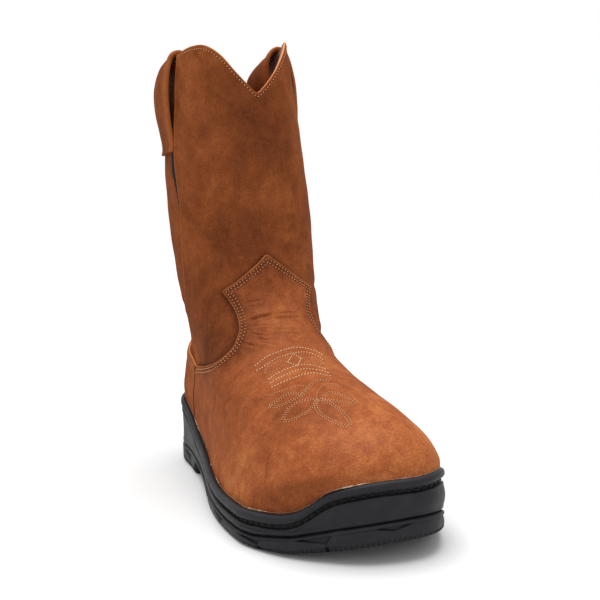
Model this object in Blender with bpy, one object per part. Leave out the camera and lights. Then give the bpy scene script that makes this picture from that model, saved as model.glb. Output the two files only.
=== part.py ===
"""Pull-on work boot for the right foot: hollow leather upper on a black rubber cup sole.

Metres, +Z up, toe to -Y, inner (medial) side to +X, standing on Z = 0.
The upper, its overlays and the sole's outline all come from one function, last(),
of a turn round the boot (0 heel, 0.5 toe) and a level (0 feather line, 1 at the front V).
"""
import bmesh
import bpy
import numpy as np

MM = 0.001
CENTRE = (-1.95, 2.43, 0.0)   # the box's bottom centre in the last's own axes, mm
WALL = 1.6            # leather of the shell, mm
STEP = 1.2            # the front panel laps over the back panel by one thickness
OVERLAY_GAP = 0.8     # vamp and counter off the shell
OVERLAY = 1.5         # their thickness
CUP_GAP = 3.2         # cup wall's inner face off the last
BEAD_HEIGHT = 4.8
SOLE_GAP = 0.6        # outsole to cup sole
LUG_DEPTH = 3.5
LUG_GROOVE = 5.0
STRAP = 2.2           # strap thickness
STRAP_TURN = (0.176, 0.250)
STRAP_SLANT = (-60.0, 0.0)            # rises over which it takes up the rim's slope
RISE = 372.2          # mm of height per level in the shaft
V_HEIGHT = 288.0      # front V of the top line
PANEL_EDGE = 0.2515   # front panel's edge, half way between two seam columns
LAP_LEVEL, LAP_RUN = 0.276, 0.05      # where the lap runs out under the vamp
OVERLAY_LOW = 0.015   # overlays' lowest level
COUNTER_EDGE = 0.2475  # counter's front edge, short of the side seam
GORE_HEIGHT = (210.0, 246.0)
GORE_WIDTH = (0.0018, 0.0128)         # narrow end and wide end, in k
GORE_EDGE, GORE_OUT = 0.2455, (0.5, 1.2)
SOLE_OUT = (3.6, 5.6, 6.2)            # outsole's bottom, step and top off the base line
STEP_SHARE = 0.4      # step's height in the outsole's side
GROOVE_INSET = 1.6    # grooves' ends, in from the step
COLUMNS_BACK, COLUMNS_FRONT = 7, 14
BASE_LEVEL = 0.04     # level of the sole's base line
WALL_LEVEL = 0.14     # top of the wall that the cup holds
INSOLE_GAP, INSOLE_LEVELS = 0.6, (0.002, 0.020)
FLOOR_DROP = 0.7      # cup's floor under the feather line
FOOT_BLEND, SHAFT_BLEND = (0.0, 0.4), (0.14, 0.60)    # levels where the foot's tables give way
PINCH_SHARE, RIDGE_SHARE = (0.3, 0.7), (0.25, 1.0)    # shares of the way to the front
TUCK, TUCK_LEVEL = 0.06, 0.07         # the lower edge drawn in under the foot
TURN_STEP, LEVEL_STEP = 0.004, 0.006  # steps for the last's own normal
BASE_STEP = 0.003     # step for the base line's direction

# The last by level, mm
LEVEL_COLUMNS = ("level", "back_y", "back_z", "front_y", "front_z", "round_lat", "round_med",
                 "round_back", "side_lat", "side_med", "ridge_x", "back_x", "pinch")
LEVELS = np.array([
    (0.00, 143, 35.0, -137, 29.5, 92, 38, 36, -44, 44, 21, 0, 1.00),
    (0.07, 148, 50.0, -143, 44.5, 90, 38, 38, -44, 44, 21, 0, 1.00),
    (0.14, 150, 64.0, -140, 59.5, 80, 38, 39, -44, 44, 20, 0, 1.00),
    (0.21, 149, 76.0, -125, 71.0, 65, 36, 40, -44, 45, 15, 0, 0.98),
    (0.28, 147, 87.0, -98, 80.5, 55, 35, 41, -44, 46, 8, 0, 0.95),
    (0.35, 144, 97.0, -68, 87.8, 52, 38, 42, -44, 47, 3, 0, 0.92),
    (0.42, 142, 108.0, -38, 96.0, 52, 44, 45, -44, 49, 0, 0, 0.92),
    (0.49, 141, 120.0, -12, 109.0, 54, 50, 49, -45, 51, -1, 0, 0.95),
    (0.56, 142, 134.0, 9, 129.0, 58, 55, 53, -47, 54, -1, 0, 0.98),
    (0.64, 145, 154.0, 22, 154.0, 61, 61, 54, -50, 57, -1, 0, 1.00),
    (0.74, 149, 191.2, 28, 191.2, 62, 62, 52, -53, 58, -2, -1, 1.00),
    (0.86, 151, 235.9, 26, 235.9, 63, 63, 51, -55, 53, -4, -3, 1.00),
    (1.00, 149, 288.0, 19, 288.0, 65, 65, 51, -53, 42.5, -7, -6, 1.00),
    (1.20, 145, 362.4, 9, 362.4, 67, 67, 53, -48, 26, -11, -10, 1.00),
], float)

# The foot's sides and feather line along its length, mm
FOOT_COLUMNS = ("y", "lateral", "medial", "feather_z")
FOOT = np.array([
    (-139, -61, 50, 29.5),
    (-115, -61, 52.5, 22.0),
    (-90, -61, 54, 15.5),
    (-65, -61, 54, 12.0),
    (-40, -60, 51, 11.5),
    (-10, -56, 46, 14.0),
    (25, -49, 42, 19.0),
    (60, -44, 40, 26.0),
    (95, -41, 40, 31.0),
    (125, -41, 39, 34.0),
    (150, -41, 39, 35.0),
], float)

# Top line's height over the front V, from the back (0) to the V (1), mm
TOP_COLUMNS = ("along", "lateral", "medial")
TOP = np.array([
    (0.00, 10, 10), (0.18, 12, 13), (0.28, 22, 25), (0.36, 30, 35), (0.46, 34.5, 42), (0.56, 36.5, 45),
    (0.66, 38, 46), (0.74, 36, 41), (0.82, 28, 30), (0.90, 15, 16), (1.00, 0, 0),
], float)

# Side seam's turn by level, then half width of the vamp and top of the counter
SEAM_COLUMNS = ("level", "turn")
SEAM = np.array([
    (0.00, 0.150), (0.11, 0.154), (0.27, 0.168), (0.42, 0.172), (0.51, 0.203), (0.60, 0.250),
    (0.72, 0.287), (0.79, 0.294), (0.86, 0.284), (1.20, 0.280),
], float)
VAMP_COLUMNS = ("level", "half_width")
VAMP = np.array([
    (0.015, 0.248), (0.045, 0.248), (0.08, 0.248), (0.12, 0.248), (0.165, 0.248), (0.21, 0.248),
    (0.255, 0.248), (0.276, 0.246), (0.326, 0.205), (0.378, 0.161), (0.446, 0.123), (0.494, 0.0994),
    (0.525, 0.0885), (0.553, 0.0882), (0.584, 0.097), (0.616, 0.1164), (0.654, 0.0588), (0.690, 0.004),
], float)
COUNTER_COLUMNS = ("turn", "top_level")
COUNTER = np.array([
    (0.000, 0.405), (0.080, 0.395), (0.150, 0.365), (0.203, 0.324), (0.226, 0.301), (0.248, 0.276),
], float)

# Bead's top round the boot, heel to toe on the outer side and back on the inner side, mm
BEAD_COLUMNS = ("turn", "top_z")
BEAD = np.array([
    (0.000, 56), (0.060, 55.5), (0.106, 53), (0.1435, 44.5), (0.175, 35), (0.226, 27.5), (0.250, 25),
    (0.278, 22.3), (0.317, 22), (0.356, 23), (0.392, 27.5), (0.420, 41), (0.453, 47.5), (0.500, 49),
    (0.560, 47.5), (0.600, 41), (0.635, 27.5), (0.680, 23), (0.720, 22), (0.774, 26), (0.825, 33),
    (0.857, 43), (0.894, 53), (0.940, 55.5), (1.000, 56),
], float)

# Cup wall's section: its foot over the outsole, its side between foot and top, its inner face, mm
CUP_FOOT_COLUMNS = ("out", "lift")
CUP_FOOT = ((3.0, 0.0), (5.8, 0.0), (6.6, 2.0))
CUP_SIDE_COLUMNS = ("out", "share", "lift")
CUP_SIDE = ((6.6, 0.55, 0.0), (6.0, 1.0, -1.8), (5.0, 1.0, -0.9), (4.8, 1.0, 0.0))
CUP_INNER_COLUMNS = ("share", "out")
CUP_INNER = ((1.0, 0.0), (0.45, 0.0), (0.0, 0.6))

# Bead's section under its top: two heights on the last, then the round outside, mm
BEAD_INNER = (-3.9, -0.8)
BEAD_OUTER_COLUMNS = ("out", "lift")
BEAD_OUTER = ((4.8, 0.0), (6.3, -1.0), (7.0, -2.6), (6.5, -3.4), (5.2, -3.9))

# Outsole's underside and top along the foot, mm
SOLE_COLUMNS = ("y", "under_z", "top_z")
SOLE = np.array([
    (160, 1.5, 14.5), (146, 0.0, 14.5), (72, 0.0, 14.5), (68, 9.5, 14.4), (40, 8.5, 13.0),
    (10, 4.5, 10.5), (-14, 0.0, 8.0), (-60, 0.0, 7.5), (-86, 0.0, 8.4), (-108, 2.4, 12.8),
    (-128, 8.0, 20.6), (-154, 17.5, 30.5),
], float)
GROOVES = (128.0, 110.0, 92.0) + tuple(-21.0 - 13.5*i for i in range(7))

# Strap's path over the rim: height over the rim and distance out of the shaft's face, mm
STRAP_COLUMNS = ("rise", "out")
STRAP_PATH = np.array([
    (-70, 0.4), (-63, 0.5), (-52, 3.0), (-40, 6.0), (-28, 7.8), (-16, 7.9), (-7, 6.3), (-1.2, 3.7),
    (0.7, -0.8), (-0.6, -8.0), (-5.5, -14.6), (-16, -18.2), (-29, -15.0), (-40, -7.6), (-52, -2.4),
], float)

MATERIALS = {  # sRGB colour, roughness
    "rubber_black": ("2C2D30", 0.55),
    "leather_brown": ("8A4A27", 0.50),
    "leather_vamp": ("95522B", 0.48),
    "elastic_black": ("1B1A1A", 0.80),
    "insole_board": ("B9682F", 0.85),
}


def column(table, names, name):
    return table[:, names.index(name)]


def spline(knots, values, x):
    """Cubic through the knots, each slope from its neighbours' chords, held flat outside."""
    x = np.clip(x, knots[0], knots[-1])
    step = np.diff(knots)
    chord = np.diff(values)/step
    slope = np.empty_like(values)
    slope[1:-1] = (step[1:]*chord[:-1] + step[:-1]*chord[1:])/(step[1:] + step[:-1])
    slope[0], slope[-1] = 1.5*chord[0] - 0.5*slope[1], 1.5*chord[-1] - 0.5*slope[-2]
    i = np.clip(np.searchsorted(knots, x, side="right") - 1, 0, len(knots) - 2)
    t = (x - knots[i])/step[i]
    return ((2*t**3 - 3*t**2 + 1)*values[i] + (t**3 - 2*t**2 + t)*step[i]*slope[i]
            + (3*t**2 - 2*t**3)*values[i + 1] + (t**3 - t**2)*step[i]*slope[i + 1])


def ease(low, high, x):
    t = np.clip((x - low)/(high - low), 0, 1)
    return t*t*(3 - 2*t)


def by_level(name, level):
    return spline(LEVELS[:, 0], column(LEVELS, LEVEL_COLUMNS, name), level)


def by_foot(name, y):
    return spline(FOOT[:, 0], column(FOOT, FOOT_COLUMNS, name), y)


def depth(points, profile):
    """Distance of side-view points to a profile line, over all its segments."""
    start, run = profile[:-1], np.diff(profile, axis=0)
    away = points[:, None] - start
    t = np.clip((away*run).sum(-1)/(run*run).sum(-1), 0, 1)
    return np.sqrt(((away - t[..., None]*run)**2).sum(-1).min(1))


def last(turn, level):
    """Point of the last in mm: a chord from heel to front, wide as an ellipse's quarter at each end."""
    turn, level = np.broadcast_arrays(np.asarray(turn, float) % 1.0, np.asarray(level, float))
    along = 1 - np.abs(1 - 2*turn)
    lateral = turn < 0.5
    share = (1 - np.cos(np.pi*along))/2
    y = by_level("back_y", level)*(1 - share) + by_level("front_y", level)*share
    z = by_level("back_z", level)*(1 - share) + by_level("front_z", level)*share
    heel, toe = LEVELS[0, 1:3], LEVELS[0, 3:5]
    straight = heel[1] + (toe[1] - heel[1])*(y - heel[0])/(toe[0] - heel[0])
    z = z + (by_foot("feather_z", y) - straight)*(1 - (2*share - 1)**8)*(1 - ease(*FOOT_BLEND, level))
    t = np.linspace(0, LEVELS[-1, 0], 170)
    flat = np.stack([y, z], -1).reshape(-1, 2)
    front = depth(flat, np.stack([by_level("front_y", t), by_level("front_z", t)], -1)).reshape(y.shape)
    back = depth(flat, np.stack([by_level("back_y", t), by_level("back_z", t)], -1)).reshape(y.shape)
    front = front/np.where(lateral, by_level("round_lat", level), by_level("round_med", level))
    back = back/by_level("round_back", level)
    shaft = ease(*SHAFT_BLEND, level)
    edge = (np.where(lateral, by_foot("lateral", y), by_foot("medial", y))*(1 - shaft)
            + np.where(lateral, by_level("side_lat", level), by_level("side_med", level))*shaft)
    edge = edge*(1 + (by_level("pinch", level) - 1)*(1 - ease(*PINCH_SHARE, share)))
    fill = np.sqrt((1 - (1 - np.clip(front, 0, 1))**2)*(1 - (1 - np.clip(back, 0, 1))**2))
    tuck = 1 - TUCK*(1 - np.clip(level/TUCK_LEVEL, 0, 1))**2
    middle = by_level("back_x", level)
    middle = middle + (by_level("ridge_x", level) - middle)*ease(*RIDGE_SHARE, share)
    return np.stack([middle + (edge - middle)*tuck*fill, y, z], -1)


def seam_turn(k, level):
    """Turn of column k: k = 0.25 and 0.75 run down the side seams, 0 the heel, 0.5 the front."""
    k, level = np.broadcast_arrays(np.asarray(k, float) % 1.0, np.asarray(level, float))
    half = np.minimum(k, 1 - k)
    seam = spline(SEAM[:, 0], SEAM[:, 1], level)
    turn = np.where(half < 0.25, seam*half/0.25, seam + (0.5 - seam)*(half - 0.25)/0.25)
    return np.where(k < 0.5, turn, 1 - turn)


def shell(k, level, out):
    """The last on seam columns, moved out along its own normal, mm."""
    k, level, out = np.broadcast_arrays(k, level, out)
    turn = seam_turn(k, level)
    across = last(turn + TURN_STEP, level) - last(turn - TURN_STEP, level)
    up = last(turn, level + LEVEL_STEP) - last(turn, level - LEVEL_STEP)
    normal = np.cross(across, up)
    return last(turn, level) + out[..., None]*normal/np.linalg.norm(normal, axis=-1, keepdims=True)


def top_level(k):
    """Level of the scalloped top line over column k."""
    turn = seam_turn(k, 1.0)
    along = 1 - np.abs(1 - 2*turn)
    rise = np.where(turn < 0.5, spline(TOP[:, 0], TOP[:, 1], along), spline(TOP[:, 0], TOP[:, 2], along))
    return 1 + rise/RISE


def level_at(z):
    """Level of a height in the shaft."""
    return 1 + (z - V_HEIGHT)/RISE


def lap(level):
    """The front panel's lap over the back panel, run out under the vamp."""
    return STEP*np.clip((level - LAP_LEVEL)/LAP_RUN, 0, 1)


def seam_columns():
    back = np.linspace(0, 0.25, COLUMNS_BACK + 1)
    front = np.linspace(0.2535, 0.5, COLUMNS_FRONT + 1)
    half = np.concatenate([back, front])
    return np.concatenate([half, 1 - half[-2:0:-1]])


def material(name):
    colour, roughness = MATERIALS[name]
    found = bpy.data.materials.get(name)
    if found:
        return found
    made = bpy.data.materials.new(name)
    made.use_nodes = True
    shader = made.node_tree.nodes["Principled BSDF"]
    srgb = np.array([int(colour[i:i + 2], 16) for i in (0, 2, 4)])/255
    linear = np.where(srgb <= 0.04045, srgb/12.92, ((srgb + 0.055)/1.055)**2.4)
    shader.inputs["Base Color"].default_value = (*linear, 1.0)
    shader.inputs["Roughness"].default_value = roughness
    shader.inputs["Metallic"].default_value = 0.0
    made.diffuse_color = (*linear, 1.0)
    return made


def solid(name, points, faces, look, parent):
    """One closed named object from points in mm."""
    mesh = bpy.data.meshes.new(name)
    mesh.from_pydata(((np.asarray(points) - CENTRE)*MM).tolist(), [], faces)
    form = bmesh.new()
    form.from_mesh(mesh)
    bmesh.ops.remove_doubles(form, verts=form.verts, dist=1e-6)
    bmesh.ops.recalc_face_normals(form, faces=form.faces)
    bmesh.ops.triangulate(form, faces=form.faces)
    form.to_mesh(mesh)
    form.free()
    mesh.materials.append(material(look))
    mesh.shade_smooth()
    mesh.set_sharp_from_angle(angle=np.radians(40))
    made = bpy.data.objects.new(name, mesh)
    made.parent = parent
    bpy.context.scene.collection.objects.link(made)
    return made


def loops_faces(rows, count, closed):
    """Quads between rows of ring loops; closed joins the last row to the first."""
    pairs = [(r, (r + 1) % rows) for r in range(rows if closed else rows - 1)]
    return [(a*count + i, a*count + (i + 1) % count, b*count + (i + 1) % count, b*count + i)
            for a, b in pairs for i in range(count)]


def ladder(first, count):
    """A floor across a ring: rungs from the outer side to the inner side."""
    rungs = [(first + i, first + i + 1, first + count - i - 1, first + (count - i) % count)
             for i in range(1, count//2 - 1)]
    ends = [(first, first + 1, first + count - 1),
            (first + count//2 - 1, first + count//2, first + count//2 + 1)]
    return rungs + ends


def ring_solid(name, rings, look, parent, floors):
    rings = np.asarray(rings)
    rows, count = rings.shape[:2]
    faces = loops_faces(rows, count, closed=not floors)
    if floors:
        faces += ladder(0, count) + ladder((rows - 1)*count, count)
    return solid(name, rings.reshape(-1, 3), faces, look, parent)


def sheet_solid(name, outer, inner, look, parent):
    """A curved plate between two grids of the same size."""
    rows, count = outer.shape[:2]
    low = rows*count
    faces = []
    for r in range(rows - 1):
        for c in range(count - 1):
            a, b = r*count + c, (r + 1)*count + c
            faces += [(a, a + 1, b + 1, b), (low + a, low + b, low + b + 1, low + a + 1)]
    border = ([c for c in range(count)] + [r*count + count - 1 for r in range(1, rows)]
              + [(rows - 1)*count + c for c in range(count - 2, -1, -1)]
              + [r*count for r in range(rows - 2, 0, -1)])
    faces += [(a, low + a, low + b, b) for a, b in zip(border, border[1:] + border[:1])]
    return solid(name, np.concatenate([outer.reshape(-1, 3), inner.reshape(-1, 3)]), faces, look, parent)


def build_upper(parent):
    """Shell of foot and shaft: outer wall with the front panel's step, inner wall, two open rims."""
    k = seam_columns()
    v = np.concatenate([[0.0], VAMP[:, 0], [0.74, 0.80, 0.87, 0.94, 1.0]])[:, None]
    top = top_level(k)[None]
    level = np.where(v < 0.7, v, 0.7 + (v - 0.7)/0.3*(top - 0.7))
    front = np.minimum(k, 1 - k)[None] > PANEL_EDGE
    outer = shell(k[None], level, lap(level)*front)
    inner = shell(k[None], level, np.full_like(level, -WALL))
    return ring_solid("upper", np.concatenate([outer, inner[::-1]]), "leather_brown", parent, floors=False)


def build_vamp(parent):
    """Toe and instep overlay: rows across, each as wide as the tongue's outline at its level."""
    levels, widths = VAMP.T
    turning = np.abs(np.diff(widths)) > 0.03
    between = [levels[:-1][turning] + share*np.diff(levels)[turning] for share in (1/3, 2/3)]
    level = np.sort(np.concatenate([levels, *between]))[:, None]
    k = 0.5 + np.linspace(-1, 1, 2*COLUMNS_FRONT + 1)[None]*np.interp(level, levels, widths)
    level = level*np.ones_like(k)
    inner = shell(k, level, lap(level) + OVERLAY_GAP)
    outer = shell(k, level, lap(level) + OVERLAY_GAP + OVERLAY)
    return sheet_solid("vamp", outer, inner, "leather_vamp", parent)


def build_counter(parent):
    """Heel overlay from side seam to side seam, its top edge rising to the back."""
    half = np.linspace(0, 0.25, COLUMNS_BACK + 1)
    half[-1] = COUNTER_EDGE
    k = np.concatenate([-half[:0:-1], half])[None]
    top = spline(COUNTER[:, 0], COUNTER[:, 1], np.abs(k))
    level = OVERLAY_LOW + (top - OVERLAY_LOW)*np.linspace(0, 1, 8)[:, None]
    inner = shell(k, level, np.full_like(level, OVERLAY_GAP))
    outer = shell(k, level, np.full_like(level, OVERLAY_GAP + OVERLAY))
    return sheet_solid("counter", outer, inner, "leather_vamp", parent)


def build_gore(name, mirrored, parent):
    """Black strip behind a side seam, narrowing downwards."""
    height = np.linspace(*GORE_HEIGHT, 6)[:, None]
    width = GORE_WIDTH[0] + np.diff(GORE_WIDTH)*ease(*GORE_HEIGHT, height)
    k = GORE_EDGE - width*np.linspace(1, 0, 3)[None]
    k = 1 - k if mirrored else k
    level = level_at(height)*np.ones_like(k)
    inner, outer = (shell(k, level, np.full_like(k, out)) for out in GORE_OUT)
    return sheet_solid(name, outer, inner, "elastic_black", parent)


def build_strap(name, mirrored, parent):
    """Loop over the rim: the path's side view carried across the strap's width."""
    k = np.linspace(*STRAP_TURN, 5)
    k = 1 - k if mirrored else k
    rise, out = STRAP_PATH.T
    middle = top_level(np.mean(k))
    rim = middle + (top_level(k)[None] - middle)*ease(*STRAP_SLANT, rise)[:, None]
    run = np.gradient(STRAP_PATH, axis=0)
    run = run/np.linalg.norm(run, axis=1, keepdims=True)
    faces = []
    for thick in (STRAP, 0.0):
        height, away = rise - run[:, 1]*thick, out + run[:, 0]*thick
        faces.append(shell(k[None], rim + height[:, None]/RISE, away[:, None]))
    return sheet_solid(name, faces[0], faces[1], "leather_brown", parent)


def outline(k):
    """Sole's base line in plan: points just over the feather line and their outward directions."""
    turn = seam_turn(k, BASE_LEVEL)
    point = last(turn, BASE_LEVEL)
    run = last(turn + BASE_STEP, BASE_LEVEL) - last(turn - BASE_STEP, BASE_LEVEL)
    out = np.stack([run[..., 1], -run[..., 0], np.zeros_like(turn)], -1)
    return point, out/np.linalg.norm(out, axis=-1, keepdims=True)


def sole_at(name, y):
    return np.interp(-y, -column(SOLE, SOLE_COLUMNS, "y"), column(SOLE, SOLE_COLUMNS, name))


def bead_top(k):
    return spline(BEAD[:, 0], BEAD[:, 1], seam_turn(k, BASE_LEVEL))


def on_last(k, z, out):
    """Ring at heights z on the last's lower wall, moved out."""
    low, high = (last(seam_turn(k, level), level)[..., 2] for level in (0.0, WALL_LEVEL))
    level = np.clip(WALL_LEVEL*(z - low)/(high - low), 0, 0.2)
    ring = shell(k, level, np.full_like(level, out))
    ring[..., 2] = z
    return ring


def wall_ring(k, out, z):
    point, away = outline(k)
    ring = point + np.broadcast_to(out, np.shape(k))[..., None]*away
    ring[..., 2] = z
    return ring


def sole_ring(k, out, lift):
    """Ring just over the outsole's top, whose height goes by where the ring itself lies."""
    ring = wall_ring(k, out, 0.0)
    ring[..., 2] = sole_at("top_z", ring[..., 1]) + SOLE_GAP + lift
    return ring


def build_cupsole(parent):
    """Rubber wall: under face, side with its swell and stitch groove, top, inner wall and floor."""
    k = seam_columns()
    y = outline(k)[0][:, 1]
    base, top = sole_at("top_z", y) + SOLE_GAP, bead_top(k) - BEAD_HEIGHT
    floor = last(seam_turn(k, 0.0), 0.0)[..., 2] - FLOOR_DROP
    rings = [sole_ring(k, out, lift) for out, lift in CUP_FOOT]
    rings += [wall_ring(k, out, base + share*(top - base) + lift) for out, share, lift in CUP_SIDE]
    rings += [on_last(k, floor + share*(top - floor), CUP_GAP + out) for share, out in CUP_INNER]
    return ring_solid("cupsole", rings, "rubber_black", parent, floors=True)


def build_bead(parent):
    """Rounded rim on the wall: seven points of its section, carried round the boot."""
    k = seam_columns()
    top = bead_top(k)
    rings = [on_last(k, top + lift, CUP_GAP) for lift in BEAD_INNER]
    rings += [wall_ring(k, out, top + lift) for out, lift in BEAD_OUTER]
    return ring_solid("welt_bead", rings, "rubber_black", parent, floors=False)


def build_insole(parent):
    k = seam_columns()
    inside = np.full_like(k, -(WALL + INSOLE_GAP))
    rings = [shell(k, np.full_like(k, level), inside) for level in INSOLE_LEVELS]
    return ring_solid("insole", rings, "insole_board", parent, floors=True)


def sole_rows(front, back):
    """Stations along the foot: the ends, the curves between and four for each groove."""
    ends = [front + d for d in (0.4, 2, 6, 12)] + [back - d for d in (0.4, 2, 6, 12)]
    grooves = [c + d for c in GROOVES
               for d in (-LUG_GROOVE/2, -LUG_GROOVE/2 + 1, LUG_GROOVE/2 - 1, LUG_GROOVE/2)]
    return np.array(sorted(ends + grooves + [72, 68, 54, 40, 25, 10, -3, -14, -122]))


def build_outsole(parent):
    """Loops along the foot: flat top, sides with a step, underside with the cross grooves cut up."""
    half = np.linspace(0, 0.5, 241)
    sides = []
    for k in (half, 1 - half):
        point, away = outline(k)
        sides.append([point + out*away for out in SOLE_OUT])
    front = max(side[0][-1, 1] for side in sides)
    back = min(side[0][0, 1] for side in sides)
    y = sole_rows(front, back)
    in_groove = np.abs(y[:, None] - np.array(GROOVES)).min(axis=1) < LUG_GROOVE/2 - 0.5
    under = sole_at("under_z", y) + LUG_DEPTH*in_groove
    top = sole_at("top_z", y)
    step = sole_at("under_z", y)*(1 - STEP_SHARE) + top*STEP_SHARE
    lateral, medial = ([np.interp(-y, -line[:, 1], line[:, 0]) for line in side] for side in sides)
    loops = []
    for share in np.linspace(0, 1, 5):
        loops.append((lateral[2]*(1 - share) + medial[2]*share, top))
    loops.append((medial[1] - GROOVE_INSET*in_groove, step))
    for share in np.linspace(1, 0, 5):
        loops.append((lateral[0]*(1 - share) + medial[0]*share, under))
    loops.append((lateral[1] + GROOVE_INSET*in_groove, step))
    rings = np.stack([np.stack([x, y, z], -1) for x, z in loops], 1)
    rows, count = rings.shape[:2]
    faces = loops_faces(rows, count, closed=False)
    faces += [tuple(range(count)), tuple((rows - 1)*count + i for i in range(count))]
    return solid("outsole", rings.reshape(-1, 3), faces, "rubber_black", parent)


def main():
    for old in list(bpy.data.objects):
        bpy.data.objects.remove(old, do_unlink=True)
    boot = bpy.data.objects.new("boot", None)
    bpy.context.scene.collection.objects.link(boot)
    build_outsole(boot)
    build_cupsole(boot)
    build_bead(boot)
    build_insole(boot)
    build_upper(boot)
    build_vamp(boot)
    build_counter(boot)
    for side, mirrored in (("lateral", False), ("medial", True)):
        build_gore("gore_" + side, mirrored, boot)
        build_strap("pull_strap_" + side, mirrored, boot)


if __name__ == "__main__":
    main()
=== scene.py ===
"""Pull-on work boot for the right foot: leather, stitching, lining and rubber sole.

Shapes are worked out in millimetres in the last's own axes, toe to -Y and inner side to +X, and
moved to the frame's metres when a mesh is made. The leather lies on one surface, last(turn, level):
the turn goes round the boot from the heel, the level up from the feather line to the front V. Columns k
go round it too, and run down the side seams at 0.25 and 0.75.
"""

import bmesh
import bpy
import numpy as np
from mathutils import Matrix


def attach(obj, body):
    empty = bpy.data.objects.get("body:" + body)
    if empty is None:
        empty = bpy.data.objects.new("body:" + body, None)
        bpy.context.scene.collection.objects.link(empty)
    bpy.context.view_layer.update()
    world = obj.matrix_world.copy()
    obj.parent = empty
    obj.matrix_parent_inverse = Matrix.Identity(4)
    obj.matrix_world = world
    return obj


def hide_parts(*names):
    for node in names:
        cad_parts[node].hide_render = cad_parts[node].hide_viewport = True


bl_info = {
    "name": "Pull-on work boot",
    "version": (1, 0, 0),
    "blender": (4, 5, 0),
    "location": "View3D > Sidebar > Boot",
    "description": "Builds a leather pull-on work boot on a rubber cup sole, piece by piece",
    "category": "Mesh",
}

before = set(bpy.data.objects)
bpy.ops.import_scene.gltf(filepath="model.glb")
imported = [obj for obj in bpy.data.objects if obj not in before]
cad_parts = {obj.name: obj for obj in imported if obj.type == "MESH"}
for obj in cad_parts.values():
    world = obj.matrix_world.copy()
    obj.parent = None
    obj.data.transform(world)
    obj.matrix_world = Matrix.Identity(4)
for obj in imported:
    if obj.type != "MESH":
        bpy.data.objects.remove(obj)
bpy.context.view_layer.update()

MM = 0.001
CENTRE = (-1.95, 2.43, 0.0)   # the frame's origin in the last's own axes, mm
WALL = 1.6            # leather and lining of the upper
STEP = 1.2            # the front panel laps over the back panel by one thickness
OVERLAY_GAP, OVERLAY = 0.8, 1.5       # vamp and counter off the upper, and their thickness
BEAD_HEIGHT = 4.8
SOLE_GAP = 0.6        # joint between outsole and cup
CUP_GAP = 3.2         # cup's inner wall off the last
RISE = 372.2          # mm of height per level in the shaft
V_HEIGHT = 288.0      # front V of the top line
V_ROUND = 1.5         # rounding of the V's bottom
LAP_LEVEL, LAP_RUN = 0.276, 0.05      # where the lap runs out under the vamp
K_MM, LEVEL_MM = 445.0, 436.0         # mm per unit of k and of level on the vamp, for flat patterns
SHAFT_K_MM = 620.0    # mm per unit of k at the shaft's side seams
FACE = OVERLAY_GAP + OVERLAY          # outer face of the vamp and counter
SKIN = 1.1            # the shaft's leather alone, without its lining
THINNEST = 0.5        # shaft's leather at its rounded edges
EDGE_ROUND, RIM_ROUND, SEAM_ROUND = 0.9, 0.5, 1.6     # rounding of the overlays', rim's and seams' edges
FRONT_EDGE, BACK_EDGE, COUNTER_EDGE = 0.249, 0.2555, 0.2565   # half widths of panels and counter in k
FRONT_FOOT, BACK_FOOT, OVERLAY_FOOT = 0.268, 0.26, 0.015      # levels of their lower edges
BASE_LEVEL = 0.04     # level of the sole's base line
WALL_LEVEL = 0.14     # top of the wall that the cup holds
FLOOR_DROP = 0.7      # cup's floor under the feather line
FOOT_BLEND, SHAFT_BLEND = (0.0, 0.4), (0.14, 0.60)    # levels where the foot's tables give way
PINCH_SHARE, RIDGE_SHARE = (0.3, 0.7), (0.25, 1.0)    # shares of the way to the front
TUCK, TUCK_LEVEL = 0.06, 0.07         # the lower edge drawn in under the foot
TURN_STEP, LEVEL_STEP = 0.004, 0.006  # steps for the last's own normal
BASE_STEP = 0.003     # step for the base line's direction
CREASE_END = 0.3      # share of a crease over which it runs out
RIDGE, RIDGE_AT = 0.45, 1.9           # ridges beside a crease: share of its depth, place in half widths
FOLD_REACH = 3.0      # half widths round a crease in which fine wrinkles gather
WAVE_SHARE = 0.6      # how much of the hide's own waves shows

# The last by level, mm
LEVEL_COLUMNS = ("level", "back_y", "back_z", "front_y", "front_z", "round_lat", "round_med",
                 "round_back", "side_lat", "side_med", "ridge_x", "back_x", "pinch")
LEVELS = np.array([
    (0.00, 143, 35.0, -137, 29.5, 92, 38, 36, -44, 44, 21, 0, 1.00),
    (0.07, 148, 50.0, -143, 44.5, 90, 38, 38, -44, 44, 21, 0, 1.00),
    (0.14, 150, 64.0, -140, 59.5, 80, 38, 39, -44, 44, 20, 0, 1.00),
    (0.21, 149, 76.0, -125, 71.0, 65, 36, 40, -44, 45, 15, 0, 0.98),
    (0.28, 147, 87.0, -98, 80.5, 55, 35, 41, -44, 46, 8, 0, 0.95),
    (0.35, 144, 97.0, -68, 87.8, 52, 38, 42, -44, 47, 3, 0, 0.92),
    (0.42, 142, 108.0, -38, 96.0, 52, 44, 45, -44, 49, 0, 0, 0.92),
    (0.49, 141, 120.0, -12, 109.0, 54, 50, 49, -45, 51, -1, 0, 0.95),
    (0.56, 142, 134.0, 9, 129.0, 58, 55, 53, -47, 54, -1, 0, 0.98),
    (0.64, 145, 154.0, 22, 154.0, 61, 61, 54, -50, 57, -1, 0, 1.00),
    (0.74, 149, 191.2, 28, 191.2, 62, 62, 52, -53, 58, -2, -1, 1.00),
    (0.86, 151, 235.9, 26, 235.9, 63, 63, 51, -55, 53, -4, -3, 1.00),
    (1.00, 149, 288.0, 19, 288.0, 65, 65, 51, -53, 42.5, -7, -6, 1.00),
    (1.20, 145, 362.4, 9, 362.4, 67, 67, 53, -48, 26, -11, -10, 1.00),
], float)

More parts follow.
